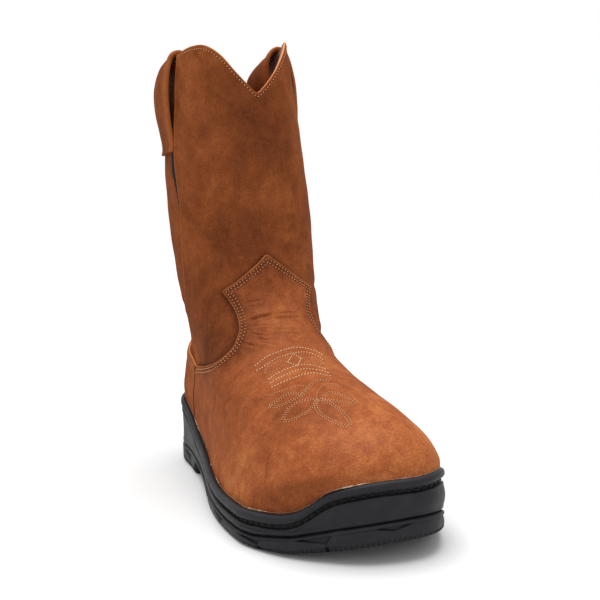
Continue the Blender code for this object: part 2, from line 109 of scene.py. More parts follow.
# The foot's sides and feather line along its length, mm
FOOT_COLUMNS = ("y", "lateral", "medial", "feather_z")
FOOT = np.array([
    (-139, -61, 50, 29.5), (-115, -61, 52.5, 22.0), (-90, -61, 54, 15.5), (-65, -61, 54, 12.0),
    (-40, -60, 51, 11.5), (-10, -56, 46, 14.0), (25, -49, 42, 19.0), (60, -44, 40, 26.0),
    (95, -41, 40, 31.0), (125, -41, 39, 34.0), (150, -41, 39, 35.0),
], float)

# Top line's height over the front V, mm: share of the way from the back to the V, outer side, inner side
TOP = np.array([
    (0.00, 10, 10), (0.18, 12, 13), (0.28, 22, 25), (0.36, 30, 35), (0.46, 34.5, 42), (0.56, 36.5, 45),
    (0.66, 38, 46), (0.74, 36, 41), (0.82, 28, 30), (0.90, 15, 16), (1.00, 0, 0),
], float)

# Side seam's turn by level, the vamp's half width in k by level, the counter's top level by k
SEAM = np.array([
    (0.00, 0.150), (0.11, 0.154), (0.27, 0.168), (0.42, 0.172), (0.51, 0.203), (0.60, 0.250),
    (0.72, 0.287), (0.79, 0.294), (0.86, 0.284), (1.20, 0.280),
], float)
VAMP_SIDE = np.array([
    (0.255, 0.2495), (0.276, 0.246), (0.326, 0.205), (0.378, 0.161), (0.446, 0.123), (0.494, 0.0994),
    (0.525, 0.0885), (0.553, 0.0882), (0.584, 0.097), (0.616, 0.1164),
], float)
VAMP_TIP = np.array([
    (0.616, 0.1164), (0.635, 0.084), (0.654, 0.0560), (0.675, 0.0240), (0.690, 0.003),
], float)
COUNTER = np.array([
    (0.000, 0.405), (0.080, 0.395), (0.150, 0.365), (0.203, 0.324), (0.226, 0.301), (0.248, 0.276),
], float)

# Bead's top round the boot, mm
BEAD = np.array([
    (0.000, 56), (0.060, 55.5), (0.106, 53), (0.1435, 44.5), (0.175, 35), (0.226, 27.5), (0.250, 25),
    (0.278, 22.3), (0.317, 22), (0.356, 23), (0.392, 27.5), (0.420, 41), (0.453, 47.5), (0.500, 49),
    (0.560, 47.5), (0.600, 41), (0.635, 27.5), (0.680, 23), (0.720, 22), (0.774, 26), (0.825, 33),
    (0.857, 43), (0.894, 53), (0.940, 55.5), (1.000, 56),
], float)

# Outsole's underside and top along the foot, mm
SOLE_COLUMNS = ("y", "under_z", "top_z")
SOLE = np.array([
    (160, 1.5, 14.5), (146, 0.0, 14.5), (72, 0.0, 14.5), (68, 9.5, 14.4), (40, 8.5, 13.0),
    (10, 4.5, 10.5), (-14, 0.0, 8.0), (-60, 0.0, 7.5), (-86, 0.0, 8.4), (-108, 2.4, 12.8),
    (-128, 8.0, 20.6), (-154, 17.5, 30.5),
], float)
GROOVES = (128.0, 110.0, 92.0) + tuple(-21.0 - 13.5*i for i in range(7))

# Strap's path over the rim: height over the rim and distance out of the shaft's face, mm
STRAP_TURN = (0.176, 0.250)
STRAP_SLANT = (-60.0, 0.0)            # rises over which it takes up the rim's slope
STRAP_SKEW = 0.30     # share by which its front edge lies closer to the shaft
STRAP_PATH = np.array([
    (-70, 0.4), (-63, 0.5), (-52, 3.0), (-40, 6.0), (-28, 7.8), (-16, 7.9), (-7, 6.3), (-1.2, 3.7),
    (0.7, -0.8), (-0.6, -8.0), (-5.5, -14.6), (-16, -18.2), (-29, -15.0), (-40, -7.6), (-52, -2.4),
], float)

# Creases of the leather: k and level of one end and of the other, then bow, depth and half width, mm
CREASES = np.array([
    (0.425, 0.537, 0.560, 0.533, 6.0, 0.7, 4.0),
    (0.428, 0.510, 0.545, 0.490, 3.0, 0.6, 3.6),
    (0.432, 0.540, 0.491, 0.555, 2.0, 1.15, 1.2),
    (0.478, 0.546, 0.552, 0.541, 1.6, 0.55, 1.1),
    (0.441, 0.507, 0.468, 0.502, -2.6, 0.80, 1.0),
    (0.426, 0.527, 0.486, 0.528, 2.0, 0.40, 1.1),
    (0.428, 0.515, 0.482, 0.510, -1.0, 0.42, 1.1),
    (0.500, 0.556, 0.545, 0.553, 1.4, 0.40, 1.1),
    (0.428, 0.583, 0.480, 0.590, 1.0, 0.40, 1.5),
    (0.480, 0.520, 0.540, 0.512, 1.5, 0.35, 1.3),
    (0.405, 0.494, 0.432, 0.482, -1.0, 0.35, 1.3),
    (0.436, 0.494, 0.485, 0.486, -1.2, 0.30, 1.2),
    (0.395, 0.486, 0.470, 0.462, 2.0, 0.5, 2.6),
    (0.340, 0.470, 0.395, 0.520, 3.0, 0.8, 4.5),
    (0.600, 0.510, 0.670, 0.455, 3.0, 0.9, 4.5),
    (0.300, 0.600, 0.400, 0.655, 4.0, 0.7, 6.0),
    (0.610, 0.640, 0.720, 0.590, 4.0, 0.7, 6.0),
    (0.310, 0.235, 0.400, 0.275, 3.0, 0.35, 5.0),
    (0.080, 0.520, 0.220, 0.560, 4.0, 1.0, 5.0),
    (0.780, 0.560, 0.920, 0.520, 4.0, 1.0, 5.0),
], float)

# Paler (+) and darker (-) clouds, given one by one: mostly the leather's own mottling, but the paler ones
# over the toe are painted light, and the darker ones low on the shaft beside the vamp add painted shade to
# the leather's own darker tone: k, level, radius in mm, amount
MOTTLES_LIGHT_AND_SHADE = np.array([
    (0.483, 0.965, 26, -1.0), (0.523, 0.898, 22, -0.7), (0.369, 0.765, 20, -0.7), (0.413, 0.733, 20, -0.7),
    (0.453, 0.693, 16, -0.6), (0.320, 0.613, 20, -0.7), (0.353, 0.551, 18, -0.8), (0.372, 0.484, 18, -0.6),
    (0.341, 0.283, 20, -0.7), (0.374, 0.265, 20, -0.7), (0.402, 0.243, 18, -0.6), (0.428, 0.243, 16, -0.5),
    (0.283, 1.050, 24, 0.7), (0.337, 0.970, 24, 0.6), (0.374, 0.831, 22, 0.4), (0.679, 0.992, 20, 0.6),
    (0.667, 0.898, 24, 0.6), (0.586, 0.814, 20, 0.3), (0.444, 0.216, 20, 0.3), (0.540, 0.170, 26, 0.5),
    (0.480, 0.130, 26, 0.4), (0.500, 0.420, 30, 0.3), (0.120, 0.800, 30, -0.5), (0.050, 0.950, 28, 0.5),
    (0.880, 0.750, 28, -0.5), (0.940, 0.600, 24, 0.4), (0.700, 0.350, 26, -0.4), (0.100, 0.250, 24, -0.5),
    (0.910, 0.250, 24, -0.5), (0.760, 0.200, 22, 0.4), (0.455, 0.610, 20, -0.4), (0.520, 0.630, 18, -0.3),
    (0.450, 0.550, 16, -0.3), (0.560, 0.580, 18, -0.1), (0.330, 0.420, 26, -0.8), (0.300, 0.350, 22, -0.6),
    (0.560, 0.110, 24, 0.7), (0.600, 0.180, 24, 0.6), (0.630, 0.090, 22, 0.5),
], float)

# Toe stitching on the vamp: kind, whether it has a second row, and the points of k - 0.5 and level
# that its curve runs through
TOE_CURVES = (
    ("arc", False, ((-0.0946, 0.400), (-0.0795, 0.423), (-0.0614, 0.445), (-0.0449, 0.457),
                    (-0.0283, 0.466), (-0.0102, 0.472), (0.0064, 0.474), (0.0169, 0.472),
                    (0.0305, 0.466), (0.0425, 0.457), (0.0546, 0.445), (0.0606, 0.432))),
    ("arc", False, ((-0.0991, 0.380), (-0.0825, 0.402), (-0.0659, 0.422), (-0.0494, 0.439),
                    (-0.0313, 0.450), (-0.0147, 0.4565), (0.0094, 0.4588), (0.0199, 0.457),
                    (0.0320, 0.451), (0.0410, 0.440), (0.0485, 0.429), (0.0515, 0.419))),
    ("arc", False, ((-0.0915, 0.353), (-0.0690, 0.383), (-0.0388, 0.409), (-0.0102, 0.4205),
                    (0.0124, 0.4174), (0.0320, 0.4004), (0.0395, 0.391))),
    ("arc", False, ((-0.0915, 0.340), (-0.0705, 0.368), (-0.0449, 0.391), (-0.0147, 0.406),
                    (0.0094, 0.402), (0.0274, 0.387), (0.0325, 0.378))),
    ("arc", False, ((-0.0915, 0.327), (-0.0720, 0.350), (-0.0524, 0.368), (-0.0253, 0.385),
                    (0.0003, 0.389), (0.0184, 0.376), (0.0255, 0.368))),
    ("side", False, ((-0.0057, 0.4569), (0.0033, 0.4400))),
    ("side", False, ((0.0033, 0.4400), (-0.0177, 0.4192))),
    ("side", False, ((-0.0177, 0.4192), (-0.0313, 0.4305))),
    ("side", False, ((-0.0313, 0.4305), (-0.0057, 0.4569))),
    ("oval", False, ((-0.0313, 0.4305), (-0.0388, 0.4324), (-0.0464, 0.4305), (-0.0554, 0.4230),
                     (-0.0659, 0.4136), (-0.0765, 0.4004), (-0.0855, 0.3854), (-0.0895, 0.3768))),
    ("oval", False, ((-0.0895, 0.3768), (-0.0840, 0.3778), (-0.0750, 0.3872), (-0.0644, 0.3967),
                     (-0.0524, 0.4098), (-0.0433, 0.4190), (-0.0313, 0.4305))),
    ("oval", False, ((0.0033, 0.4400), (0.0109, 0.4412), (0.0184, 0.4400), (0.0305, 0.4343),
                     (0.0395, 0.4268), (0.0440, 0.4174), (0.0450, 0.4090))),
    ("oval", False, ((0.0450, 0.4090), (0.0365, 0.4136), (0.0274, 0.4211), (0.0169, 0.4285),
                     (0.0033, 0.4400))),
    ("leaf", True, ((-0.0390, 0.3010), (-0.0509, 0.2995), (-0.0599, 0.2962), (-0.0674, 0.2893),
                    (-0.0750, 0.2780), (-0.0795, 0.2649), (-0.0840, 0.2479))),
    ("leaf", True, ((-0.0840, 0.2479), (-0.0765, 0.2510), (-0.0674, 0.2600), (-0.0584, 0.2700),
                    (-0.0516, 0.2810), (-0.0449, 0.2920), (-0.0390, 0.3010))),
    ("leaf", True, ((-0.0390, 0.3010), (-0.0425, 0.2900), (-0.0440, 0.2780), (-0.0435, 0.2660),
                    (-0.0410, 0.2540), (-0.0375, 0.2420), (-0.0313, 0.2272))),
    ("leaf", True, ((-0.0313, 0.2272), (-0.0276, 0.2420), (-0.0260, 0.2573), (-0.0258, 0.2720),
                    (-0.0290, 0.2870), (-0.0390, 0.3010))),
    ("stem", False, ((-0.1006, 0.3006), (-0.0931, 0.3082), (-0.0840, 0.3176), (-0.0750, 0.3251),
                     (-0.0659, 0.3331), (-0.0554, 0.3415), (-0.0464, 0.3439), (-0.0388, 0.3421))),
    ("leaf", True, ((-0.0991, 0.2799), (-0.0915, 0.2912), (-0.0825, 0.3044), (-0.0735, 0.3157),
                    (-0.0629, 0.3225), (-0.0554, 0.3213), (-0.0500, 0.3150))),
    ("stem", True, ((-0.0991, 0.2799), (-0.0900, 0.2825), (-0.0825, 0.2885), (-0.0735, 0.2980),
                    (-0.0640, 0.3075), (-0.0569, 0.3157), (-0.0509, 0.3237), (-0.0418, 0.3364),
                    (-0.0333, 0.3475), (-0.0223, 0.3590), (-0.0117, 0.3640), (0.0003, 0.3628),
                    (0.0094, 0.3560))),
    ("stem", False, ((-0.0390, 0.3010), (-0.0343, 0.3176), (-0.0262, 0.3312), (-0.0162, 0.3413),
                     (-0.0072, 0.3463), (0.0018, 0.3473), (0.0079, 0.3445), (0.0109, 0.3390),
                     (0.0124, 0.3289))),
    ("leaf", True, ((-0.0350, 0.3010), (-0.0238, 0.3150), (-0.0162, 0.3205), (-0.0102, 0.3176),
                    (-0.0042, 0.3105), (-0.0012, 0.3006), (0.0033, 0.2893))),
    ("leaf", True, ((-0.0350, 0.3000), (-0.0270, 0.2990), (-0.0190, 0.2950), (-0.0117, 0.2893),
                    (-0.0057, 0.2845), (0.0033, 0.2893))),
)

TURNS, ROWS, TABLE_TOP = 360, 181, 1.2    # even table that last() is looked up in


# Surface of the last

def spline(knots, values, x):
    """Cubic through the knots, each slope from its neighbours' chords, held flat outside."""
    x = np.clip(x, knots[0], knots[-1])
    step = np.diff(knots)
    chord = np.diff(values)/step
    slope = np.empty_like(values)
    slope[1:-1] = (step[1:]*chord[:-1] + step[:-1]*chord[1:])/(step[1:] + step[:-1])
    slope[0], slope[-1] = 1.5*chord[0] - 0.5*slope[1], 1.5*chord[-1] - 0.5*slope[-2]
    i = np.clip(np.searchsorted(knots, x, side="right") - 1, 0, len(knots) - 2)
    t = (x - knots[i])/step[i]
    return ((2*t**3 - 3*t**2 + 1)*values[i] + (t**3 - 2*t**2 + t)*step[i]*slope[i]
            + (3*t**2 - 2*t**3)*values[i + 1] + (t**3 - t**2)*step[i]*slope[i + 1])


def ease(low, high, x):
    """0 below low, 1 above high, a smooth cubic between."""
    t = np.clip((x - low)/(high - low), 0, 1)
    return t*t*(3 - 2*t)


def bell(distance, width):
    """Bell curve of a distance: 1 at none, 0.37 at one width."""
    return np.exp(-(distance/width)**2)


def band(distance, amount, place, width):
    """Bell-shaped band beside an edge, with its middle at a place."""
    return amount*bell(distance - place, width)


def read(table, x, column=1):
    """A table's column at places x of its first column, smooth between its rows."""
    return spline(table[:, 0], table[:, column], x)


def by_level(name, level):
    """A column of the last's table at levels."""
    return read(LEVELS, level, LEVEL_COLUMNS.index(name))


def by_foot(name, y):
    """A column of the foot's table at places along the foot."""
    return read(FOOT, y, FOOT_COLUMNS.index(name))


def depth(points, profile):
    """Distance of side-view points to a profile line, over all its segments."""
    start, run = profile[:-1], np.diff(profile, axis=0)
    away = points[:, None] - start
    t = np.clip((away*run).sum(-1)/(run*run).sum(-1), 0, 1)
    return np.sqrt(((away - t[..., None]*run)**2).sum(-1).min(1))


def last_points(turn, level):
    """Point of the last in mm: a chord from heel to front, wide as an ellipse's quarter at each end."""
    turn, level = np.broadcast_arrays(turn, level)
    along = 1 - np.abs(1 - 2*turn)
    lateral = turn < 0.5
    share = (1 - np.cos(np.pi*along))/2
    y = by_level("back_y", level)*(1 - share) + by_level("front_y", level)*share
    z = by_level("back_z", level)*(1 - share) + by_level("front_z", level)*share
    heel, toe = LEVELS[0, 1:3], LEVELS[0, 3:5]
    straight = heel[1] + (toe[1] - heel[1])*(y - heel[0])/(toe[0] - heel[0])
    z = z + (by_foot("feather_z", y) - straight)*(1 - (2*share - 1)**8)*(1 - ease(*FOOT_BLEND, level))
    t = np.linspace(0, TABLE_TOP, 2*ROWS - 1)
    flat = np.stack([y, z], -1).reshape(-1, 2)
    front = depth(flat, np.stack([by_level("front_y", t), by_level("front_z", t)], -1)).reshape(y.shape)
    back = depth(flat, np.stack([by_level("back_y", t), by_level("back_z", t)], -1)).reshape(y.shape)
    front = front/np.where(lateral, by_level("round_lat", level), by_level("round_med", level))
    back = back/by_level("round_back", level)
    shaft = ease(*SHAFT_BLEND, level)
    edge = (np.where(lateral, by_foot("lateral", y), by_foot("medial", y))*(1 - shaft)
            + np.where(lateral, by_level("side_lat", level), by_level("side_med", level))*shaft)
    edge = edge*(1 + (by_level("pinch", level) - 1)*(1 - ease(*PINCH_SHARE, share)))
    fill = np.sqrt((1 - (1 - np.clip(front, 0, 1))**2)*(1 - (1 - np.clip(back, 0, 1))**2))
    tuck = 1 - TUCK*(1 - np.clip(level/TUCK_LEVEL, 0, 1))**2
    middle = by_level("back_x", level)
    middle = middle + (by_level("ridge_x", level) - middle)*ease(*RIDGE_SHARE, share)
    return np.stack([middle + (edge - middle)*tuck*fill, y, z], -1)


TABLE = np.concatenate([last_points(turns[:, None], np.linspace(0, TABLE_TOP, ROWS)[None])
                        for turns in np.array_split(np.arange(TURNS)/TURNS, 36)])


def cubic(t):
    """Weights of four neighbours in a cubic that runs through the middle two."""
    return ((2*t**2 - t**3 - t)/2, (3*t**3 - 5*t**2 + 2)/2, (4*t**2 - 3*t**3 + t)/2, (t**3 - t**2)/2)


def last(turn, level):
    """The last by cubic lookup in its table, sixteen neighbours to a point."""
    a, b = np.broadcast_arrays(np.asarray(turn, float) % 1.0*TURNS,
                               np.clip(level, 0, TABLE_TOP)*(ROWS - 1)/TABLE_TOP)
    i, j = np.floor(a).astype(int), np.minimum(np.floor(b).astype(int), ROWS - 2)
    found = 0.0
    for m, along in enumerate(cubic(a - i)):
        for n, up in enumerate(cubic(b - j)):
            near = TABLE[(i + m - 1) % TURNS, np.clip(j + n - 1, 0, ROWS - 1)]
            found = found + (along*up)[..., None]*near
    return found


def seam_turn(k, level):
    """Turn of column k: k = 0.25 and 0.75 run down the side seams, 0 the heel, 0.5 the front."""
    k, level = np.broadcast_arrays(np.asarray(k, float) % 1.0, np.asarray(level, float))
    half = np.minimum(k, 1 - k)
    seam = read(SEAM, level)
    turn = np.where(half < 0.25, seam*half/0.25, seam + (0.5 - seam)*(half - 0.25)/0.25)
    return np.where(k < 0.5, turn, 1 - turn)


def unit(vectors):
    """Vectors divided by their own lengths."""
    return vectors/np.linalg.norm(vectors, axis=-1, keepdims=True)


def shell_normal(k, level):
    """Point of the last and its outward normal, from differences along the turn and the level."""
    turn = seam_turn(k, level)
    across = last(turn + TURN_STEP, level) - last(turn - TURN_STEP, level)
    up = last(turn, level + LEVEL_STEP) - last(turn, level - LEVEL_STEP)
    return last(turn, level), unit(np.cross(across, up))


def shell(k, level, out):
    """The last on seam columns, moved out along its own normal, mm."""
    k, level, out = np.broadcast_arrays(k, level, out)
    point, normal = shell_normal(k, level)
    return point + out[..., None]*normal


def top_level(k):
    """Level of the scalloped top line over column k."""
    turn = seam_turn(k, 1.0)
    along = 1 - np.abs(1 - 2*turn)
    rise = np.where(turn < 0.5, read(TOP, along, 1), read(TOP, along, 2))
    return 1 + np.hypot(rise, V_ROUND)/RISE


def lap(level):
    """The front panel's lap over the back panel, run out under the vamp."""
    return STEP*np.clip((level - LAP_LEVEL)/LAP_RUN, 0, 1)


def vamp_width(level):
    """Half width of the vamp in k: a smooth curve up to the tongue's corners, then on to its tip."""
    side = read(VAMP_SIDE, level)
    return np.where(level <= VAMP_TIP[0, 0], side, np.interp(level, VAMP_TIP[:, 0], VAMP_TIP[:, 1]))


def counter_top(k):
    """Level of the counter's upper edge, the same on both sides."""
    return read(COUNTER, np.abs(k))


def crease_lines(k, level):
    """Each crease's depth, half width, run-out to its ends and distance to its bowed line, mm."""
    for k0, level0, k1, level1, bow, deep, width in CREASES:
        run = np.array([(k1 - k0)*K_MM, (level1 - level0)*LEVEL_MM])
        length = np.hypot(*run)
        u, v = (k - k0)*K_MM, (level - level0)*LEVEL_MM
        s = (u*run[0] + v*run[1])/length**2
        d = (v*run[0] - u*run[1])/length - 4*bow*s*(1 - s)
        yield deep, width, ease(0, CREASE_END, s)*(1 - ease(1 - CREASE_END, 1, s)), d


def creases(k, level):
    """Soft troughs with a ridge on each side: bell curves of the distance to a bowed line, that run
    out to both ends of the line."""
    return sum(deep*taper*(RIDGE*bell(np.abs(d) - RIDGE_AT*width, width) - bell(d, width))
               for deep, width, taper, d in crease_lines(k, level))


def folds(k, level):
    """Where fine wrinkles gather: wide bell curves round the creases."""
    return sum(deep*taper*bell(d, FOLD_REACH*width) for deep, width, taper, d in crease_lines(k, level))


def waves(point):
    """Hide's own unevenness: three sine waves, about 23 to 48 mm long, in skew directions."""
    x, y, z = np.moveaxis(point, -1, 0)
    return (0.30*np.sin(x/8.1 + 1.7*np.sin(z/17) + y/23) + 0.25*np.sin(y/6.3 + z/9.5 + 0.8)
            + 0.20*np.sin(z/4.2 - x/7.7 + 1.5*np.sin(y/13)))


def relief(k, level):
    """Height of the worn leather over the last: its creases and a share of the hide's waves."""
    return creases(k, level) + WAVE_SHARE*waves(last(seam_turn(k, level), level))


def tone(k, level):
    """Paler and darker clouds, some of them painted light and shade: bell curves of the distance to listed
    points of the last.
    """
    point = last(seam_turn(k, level), level)
    value = np.zeros(point.shape[:-1])
    for k0, level0, radius, amount in MOTTLES_LIGHT_AND_SHADE:
        away = point - last(seam_turn(k0, level0), level0)
        value = value + amount*np.exp(-(away**2).sum(-1)/radius**2)
    return value


def rounded(distance, radius):
    """How far a cut edge's rounding drops: a quarter circle over the last radius before the edge."""
    t = 1 - np.clip(distance/radius, 0, 1)
    return radius*(1 - np.sqrt(1 - np.minimum(t, 0.999)**2))


def spread(count, lean):
    """Stations from -1 to 1, closer to both ends: a line and a sine, mixed."""
    t = np.linspace(-1, 1, count)
    return (1 - lean)*t + lean*np.sin(np.pi*t/2)


# Paths on the surface

def arc_length(path):
    """Length from a path's start to each of its points: the sum of the chords."""
    return np.concatenate([[0], np.cumsum(np.linalg.norm(np.diff(path, axis=0), axis=1))])


def sampled(at, length, path):
    """A path read at lengths, straight between its points."""
    return np.stack([np.interp(at, length, column) for column in path.T], -1)


def circle(count):
    """Cosines and sines of even steps round a circle, as two columns."""
    angle = 2*np.pi*np.arange(count)/count
    return np.cos(angle)[:, None], np.sin(angle)[:, None]


def inset(path, distance):
    """A (k, level) path moved in the surface, to the left of its run, by a distance in mm: the sideways
    vector is split along the surface's two directions, which small differences give."""
    k, level = path.T
    d = 0.002
    across = (shell(k + d, level, 0.0) - shell(k - d, level, 0.0))/(2*d)
    up = (shell(k, level + d, 0.0) - shell(k, level - d, 0.0))/(2*d)
    run = unit(across*np.gradient(k)[:, None] + up*np.gradient(level)[:, None])
    side = np.cross(unit(np.cross(across, up)), run)
    aa, ab, bb = ((a*b).sum(1) for a, b in ((across, across), (across, up), (up, up)))
    pa, pb = (side*across).sum(1), (side*up).sum(1)
    moved = np.stack([pa*bb - pb*ab, pb*aa - pa*ab], -1)/(aa*bb - ab*ab)[:, None]
    return path + distance*moved


def mitred(first, second):
    """Two paths trimmed where they cross and joined there; every pair of segments is tested."""
    p, r = first[:-1, None], np.diff(first, axis=0)[:, None]
    q, s = second[None, :-1], np.diff(second, axis=0)[None]
    gap, det = q - p, r[..., 0]*s[..., 1] - r[..., 1]*s[..., 0]
    det = np.where(np.abs(det) < 1e-15, 1e-15, det)
    t = (gap[..., 0]*s[..., 1] - gap[..., 1]*s[..., 0])/det
    u = (gap[..., 0]*r[..., 1] - gap[..., 1]*r[..., 0])/det
    hits = np.argwhere((t >= 0) & (t <= 1) & (u >= 0) & (u <= 1))
    if len(hits):
        i, j = hits[0]
        corner = first[i] + t[i, j]*(first[i + 1] - first[i])
        first, second = np.vstack([first[:i + 1], corner]), second[j + 1:]
    return np.vstack([first, second])


def curve(points, count=60):
    """Smooth (k, level) path through a few points, by their chord lengths in mm."""
    points = np.asarray(points, float)
    length = arc_length(points*(K_MM, LEVEL_MM))
    x = np.linspace(0, length[-1], count)
    if len(points) == 2:
        return sampled(x, length, points)
    return np.stack([spline(length, points[:, i], x) for i in (0, 1)], -1)


def on_face(path, height):
    """3-D points and normals of a (k, level) path, at heights over the last that follow the relief."""
    k, level = path.T
    point, normal = shell_normal(k, level)
    return point + (height + relief(k, level))[:, None]*normal, normal


ROD, DOT = 5, 6       # rings of a stitch and points of a ring, corners of a needle hole
SKEW = (0.31, 0.52, 0.79)             # a direction that no seam's normal runs along


def stitches(paths, pitch, thick, share):
    """Thread cut into stitches of one pitch: each is a bent rod of five rings of five points, that
    stands over the face in its middle and dips into a hole at both ends.
    Returns points, quads, end faces and the holes' centres and normals."""
    stations = np.linspace(-share/2, share/2, ROD)
    lift = thick*np.array([-0.30, 0.30, 0.42, 0.30, -0.30])
    girth = thick/2*np.array([0.60, 1.0, 1.05, 1.0, 0.60])
    cosine, sine = circle(ROD)
    rods, holes = [], []
    for point, normal in paths:
        length = arc_length(point)
        count = max(1, int(round(length[-1]/pitch)))
        size = length[-1]/count
        at = size*(np.arange(count)[:, None] + 0.5 + stations)
        place, up = sampled(at, length, point), unit(sampled(at, length, normal))
        run = unit(np.gradient(place, axis=1))
        side = np.cross(run, up)
        ring = cosine*side[..., None, :] + sine*up[..., None, :]
        rods.append((place + lift[:, None]*up)[..., None, :] + girth[:, None, None]*ring)
        ends = size*np.arange(count + 1)
        holes.append(np.stack([sampled(ends, length, line) for line in (point, normal)], 1))
    rods = np.concatenate(rods)
    first = ROD*ROD*np.arange(len(rods))[:, None, None]
    ring, step = np.arange(ROD - 1)[:, None]*ROD, np.arange(ROD)
    a, b = first + ring + step, first + ring + (step + 1) % ROD
    quads = np.stack([a, b, b + ROD, a + ROD], -1).reshape(-1, 4)
    caps = np.concatenate([first[:, 0] + step[::-1], first[:, 0] + ROD*(ROD - 1) + step])
    return rods.reshape(-1, 3), quads, caps, np.concatenate(holes)


def discs(holes, radius, lift):
    """Corners of six-sided dots that lie on the face."""
    place, normal = holes[:, 0], unit(holes[:, 1])
    one = unit(np.cross(normal, SKEW))
    two = np.cross(normal, one)
    cosine, sine = circle(DOT)
    ring = cosine*one[:, None] + sine*two[:, None]
    return ((place + lift*normal)[:, None] + radius*ring).reshape(-1, 3)


# Meshes

MERGE_GAP, SLIVER = 1e-6, 1e-7        # metres under which points are one, and faces go


def grid_faces(rows, count, closed=False, flip=False):
    """Quads of a grid, row by row; closed joins the last column to the first."""
    r = np.arange(rows - 1)[:, None]*count
    c = np.arange(count if closed else count - 1)
    d = (c + 1) % count
    quads = np.stack([r + c, r + d, r + count + d, r + count + c], -1).reshape(-1, 4)
    return quads[:, ::-1] if flip else quads


def border(rows, count):
    """Indices round a grid, bottom row first, against the clock seen from outside."""
    index = np.arange(rows*count).reshape(rows, count)
    return np.concatenate([index[0], index[1:, -1], index[-1, -2::-1], index[-2:0:-1, 0]])


def make(name, points, faces, looks, marks=None, values=None, uv=None, sharp=50, merge=False):
    """Mesh piece from points in mm and lists of faces; marks give each list's material."""
    mesh = bpy.data.meshes.new(name)
    mesh.from_pydata(((np.asarray(points).reshape(-1, 3) - CENTRE)*MM).tolist(), [],
                     [face for part in faces for face in part.tolist()])
    for look in looks:
        mesh.materials.append(look)
    if marks:
        mesh.polygons.foreach_set("material_index", np.repeat(marks, [len(part) for part in faces]))
    for key, value in (values or {}).items():
        mesh.attributes.new(key, "FLOAT", "POINT").data.foreach_set("value", np.ravel(value))
    if uv is not None:
        corners = np.empty(len(mesh.loops), int)
        mesh.loops.foreach_get("vertex_index", corners)
        mesh.uv_layers.new(name="UVMap").data.foreach_set("uv", uv.reshape(-1, 2)[corners].ravel())
    if merge:
        form = bmesh.new()
        form.from_mesh(mesh)
        bmesh.ops.remove_doubles(form, verts=form.verts, dist=MERGE_GAP)
        bmesh.ops.dissolve_degenerate(form, edges=form.edges, dist=SLIVER)
        form.to_mesh(mesh)
        form.free()
    mesh.shade_smooth()
    mesh.set_sharp_from_angle(angle=np.radians(sharp))
    piece = bpy.data.objects.new(name, mesh)
    bpy.context.scene.collection.objects.link(piece)
    return piece


def stand_for(piece, slot, *nodes):
    """Puts a piece on the boot's one body, in the place of any CAD nodes; its slot is not used."""
    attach(piece, "root")
    if nodes:
        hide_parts(*nodes)


def sheet(name, k, level, face, under, looks, values):
    """Closed plate on the last between two heights over it: face, flesh side and the cut edge round them."""
    outer, inner = shell(k, level, face), shell(k, level, under)
    rows, count = outer.shape[:2]
    low = rows*count
    a = border(rows, count)
    b = np.roll(a, -1)
    faces = [grid_faces(rows, count), grid_faces(rows, count, flip=True) + low,
             np.stack([b, a, a + low, b + low], -1)]
    doubled = {key: np.concatenate([np.ravel(value), np.ravel(value)]) for key, value in values.items()}
    return make(name, np.concatenate([outer.reshape(-1, 3), inner.reshape(-1, 3)]), faces, looks,
                marks=(0, 1, 2), values=doubled)


def ring_piece(name, rings, looks, **options):
    """Closed body of rings round the boot: its first and last ring meet, or lie drawn in on a mid-line."""
    faces = [grid_faces(*rings.shape[:2], closed=True)]
    return make(name, rings, faces, looks, merge=True, **options)


def drawn_in(ring, shares, lift=None):
    """Rows across a ring: each point goes to the middle between it and its mirror column."""
    mirror = np.roll(ring[::-1], 1, axis=0)
    rows = np.stack([ring*(1 - share/2) + mirror*share/2 for share in shares])
    if lift is not None:
        rows[..., 2] = lift(rows)
    return rows


# Materials

def linear(hexa):
    """sRGB hex to linear."""
    srgb = np.array([int(hexa[i:i + 2], 16) for i in (0, 2, 4)])/255
    return tuple(np.where(srgb <= 0.04045, srgb/12.92, ((srgb + 0.055)/1.055)**2.4).tolist())


def per_mm(size):
    """Texture scale of a pattern whose features are so many mm."""
    return 1/(size*MM)


def add(tree, kind, sockets=None, ramp=None, **settings):
    """Adds a node with its settings; a socket gets a value, or a link from another node's output."""
    node = tree.nodes.new("ShaderNode" + kind)
    for key, value in settings.items():
        setattr(node, key, value)
    for key, value in (sockets or {}).items():
        if isinstance(value, bpy.types.NodeSocket):
            tree.links.new(value, node.inputs[key])
        else:
            node.inputs[key].default_value = value
    if ramp:
        stops = node.color_ramp.elements
        stops[0].position, stops[-1].position = ramp[0][0], ramp[-1][0]
        stops[0].color, stops[-1].color = (*ramp[0][1], 1), (*ramp[-1][1], 1)
        for position, colour in ramp[1:-1]:
            stops.new(position).color = (*colour, 1)
    return node


def noise(tree, place, size, **sockets):
    """A noise whose features are so many mm."""
    return add(tree, "TexNoise", {"Vector": place, "Scale": per_mm(size), **sockets}).outputs["Fac"]


def reckon(tree, operation, *values):
    """A sum, product or other reckoning of values."""
    return add(tree, "Math", dict(enumerate(values)), operation=operation).outputs[0]


def ranged(tree, value, *ends):
    """A value moved from a range, the first two ends, to another one, and held there."""
    return add(tree, "MapRange", {"Value": value, **dict(enumerate(ends, 1))}).outputs[0]


def blend(tree, share, one, two):
    """A share of the way from one colour to another."""
    return add(tree, "Mix", {0: share, 6: one, 7: two}, data_type="RGBA").outputs[2]


def attribute(tree, name):
    """A mesh's own values."""
    return add(tree, "Attribute", attribute_name=name).outputs["Fac"]


def dress(tree, shader, colour, height, strength, deep, **settings):
    """Gives a shader its colour and the bump of a height, so many mm deep."""
    bump = add(tree, "Bump", {"Height": height, "Strength": strength, "Distance": deep*MM}, **settings)
    tree.links.new(colour, shader.inputs["Base Color"])
    tree.links.new(bump.outputs["Normal"], shader.inputs["Normal"])


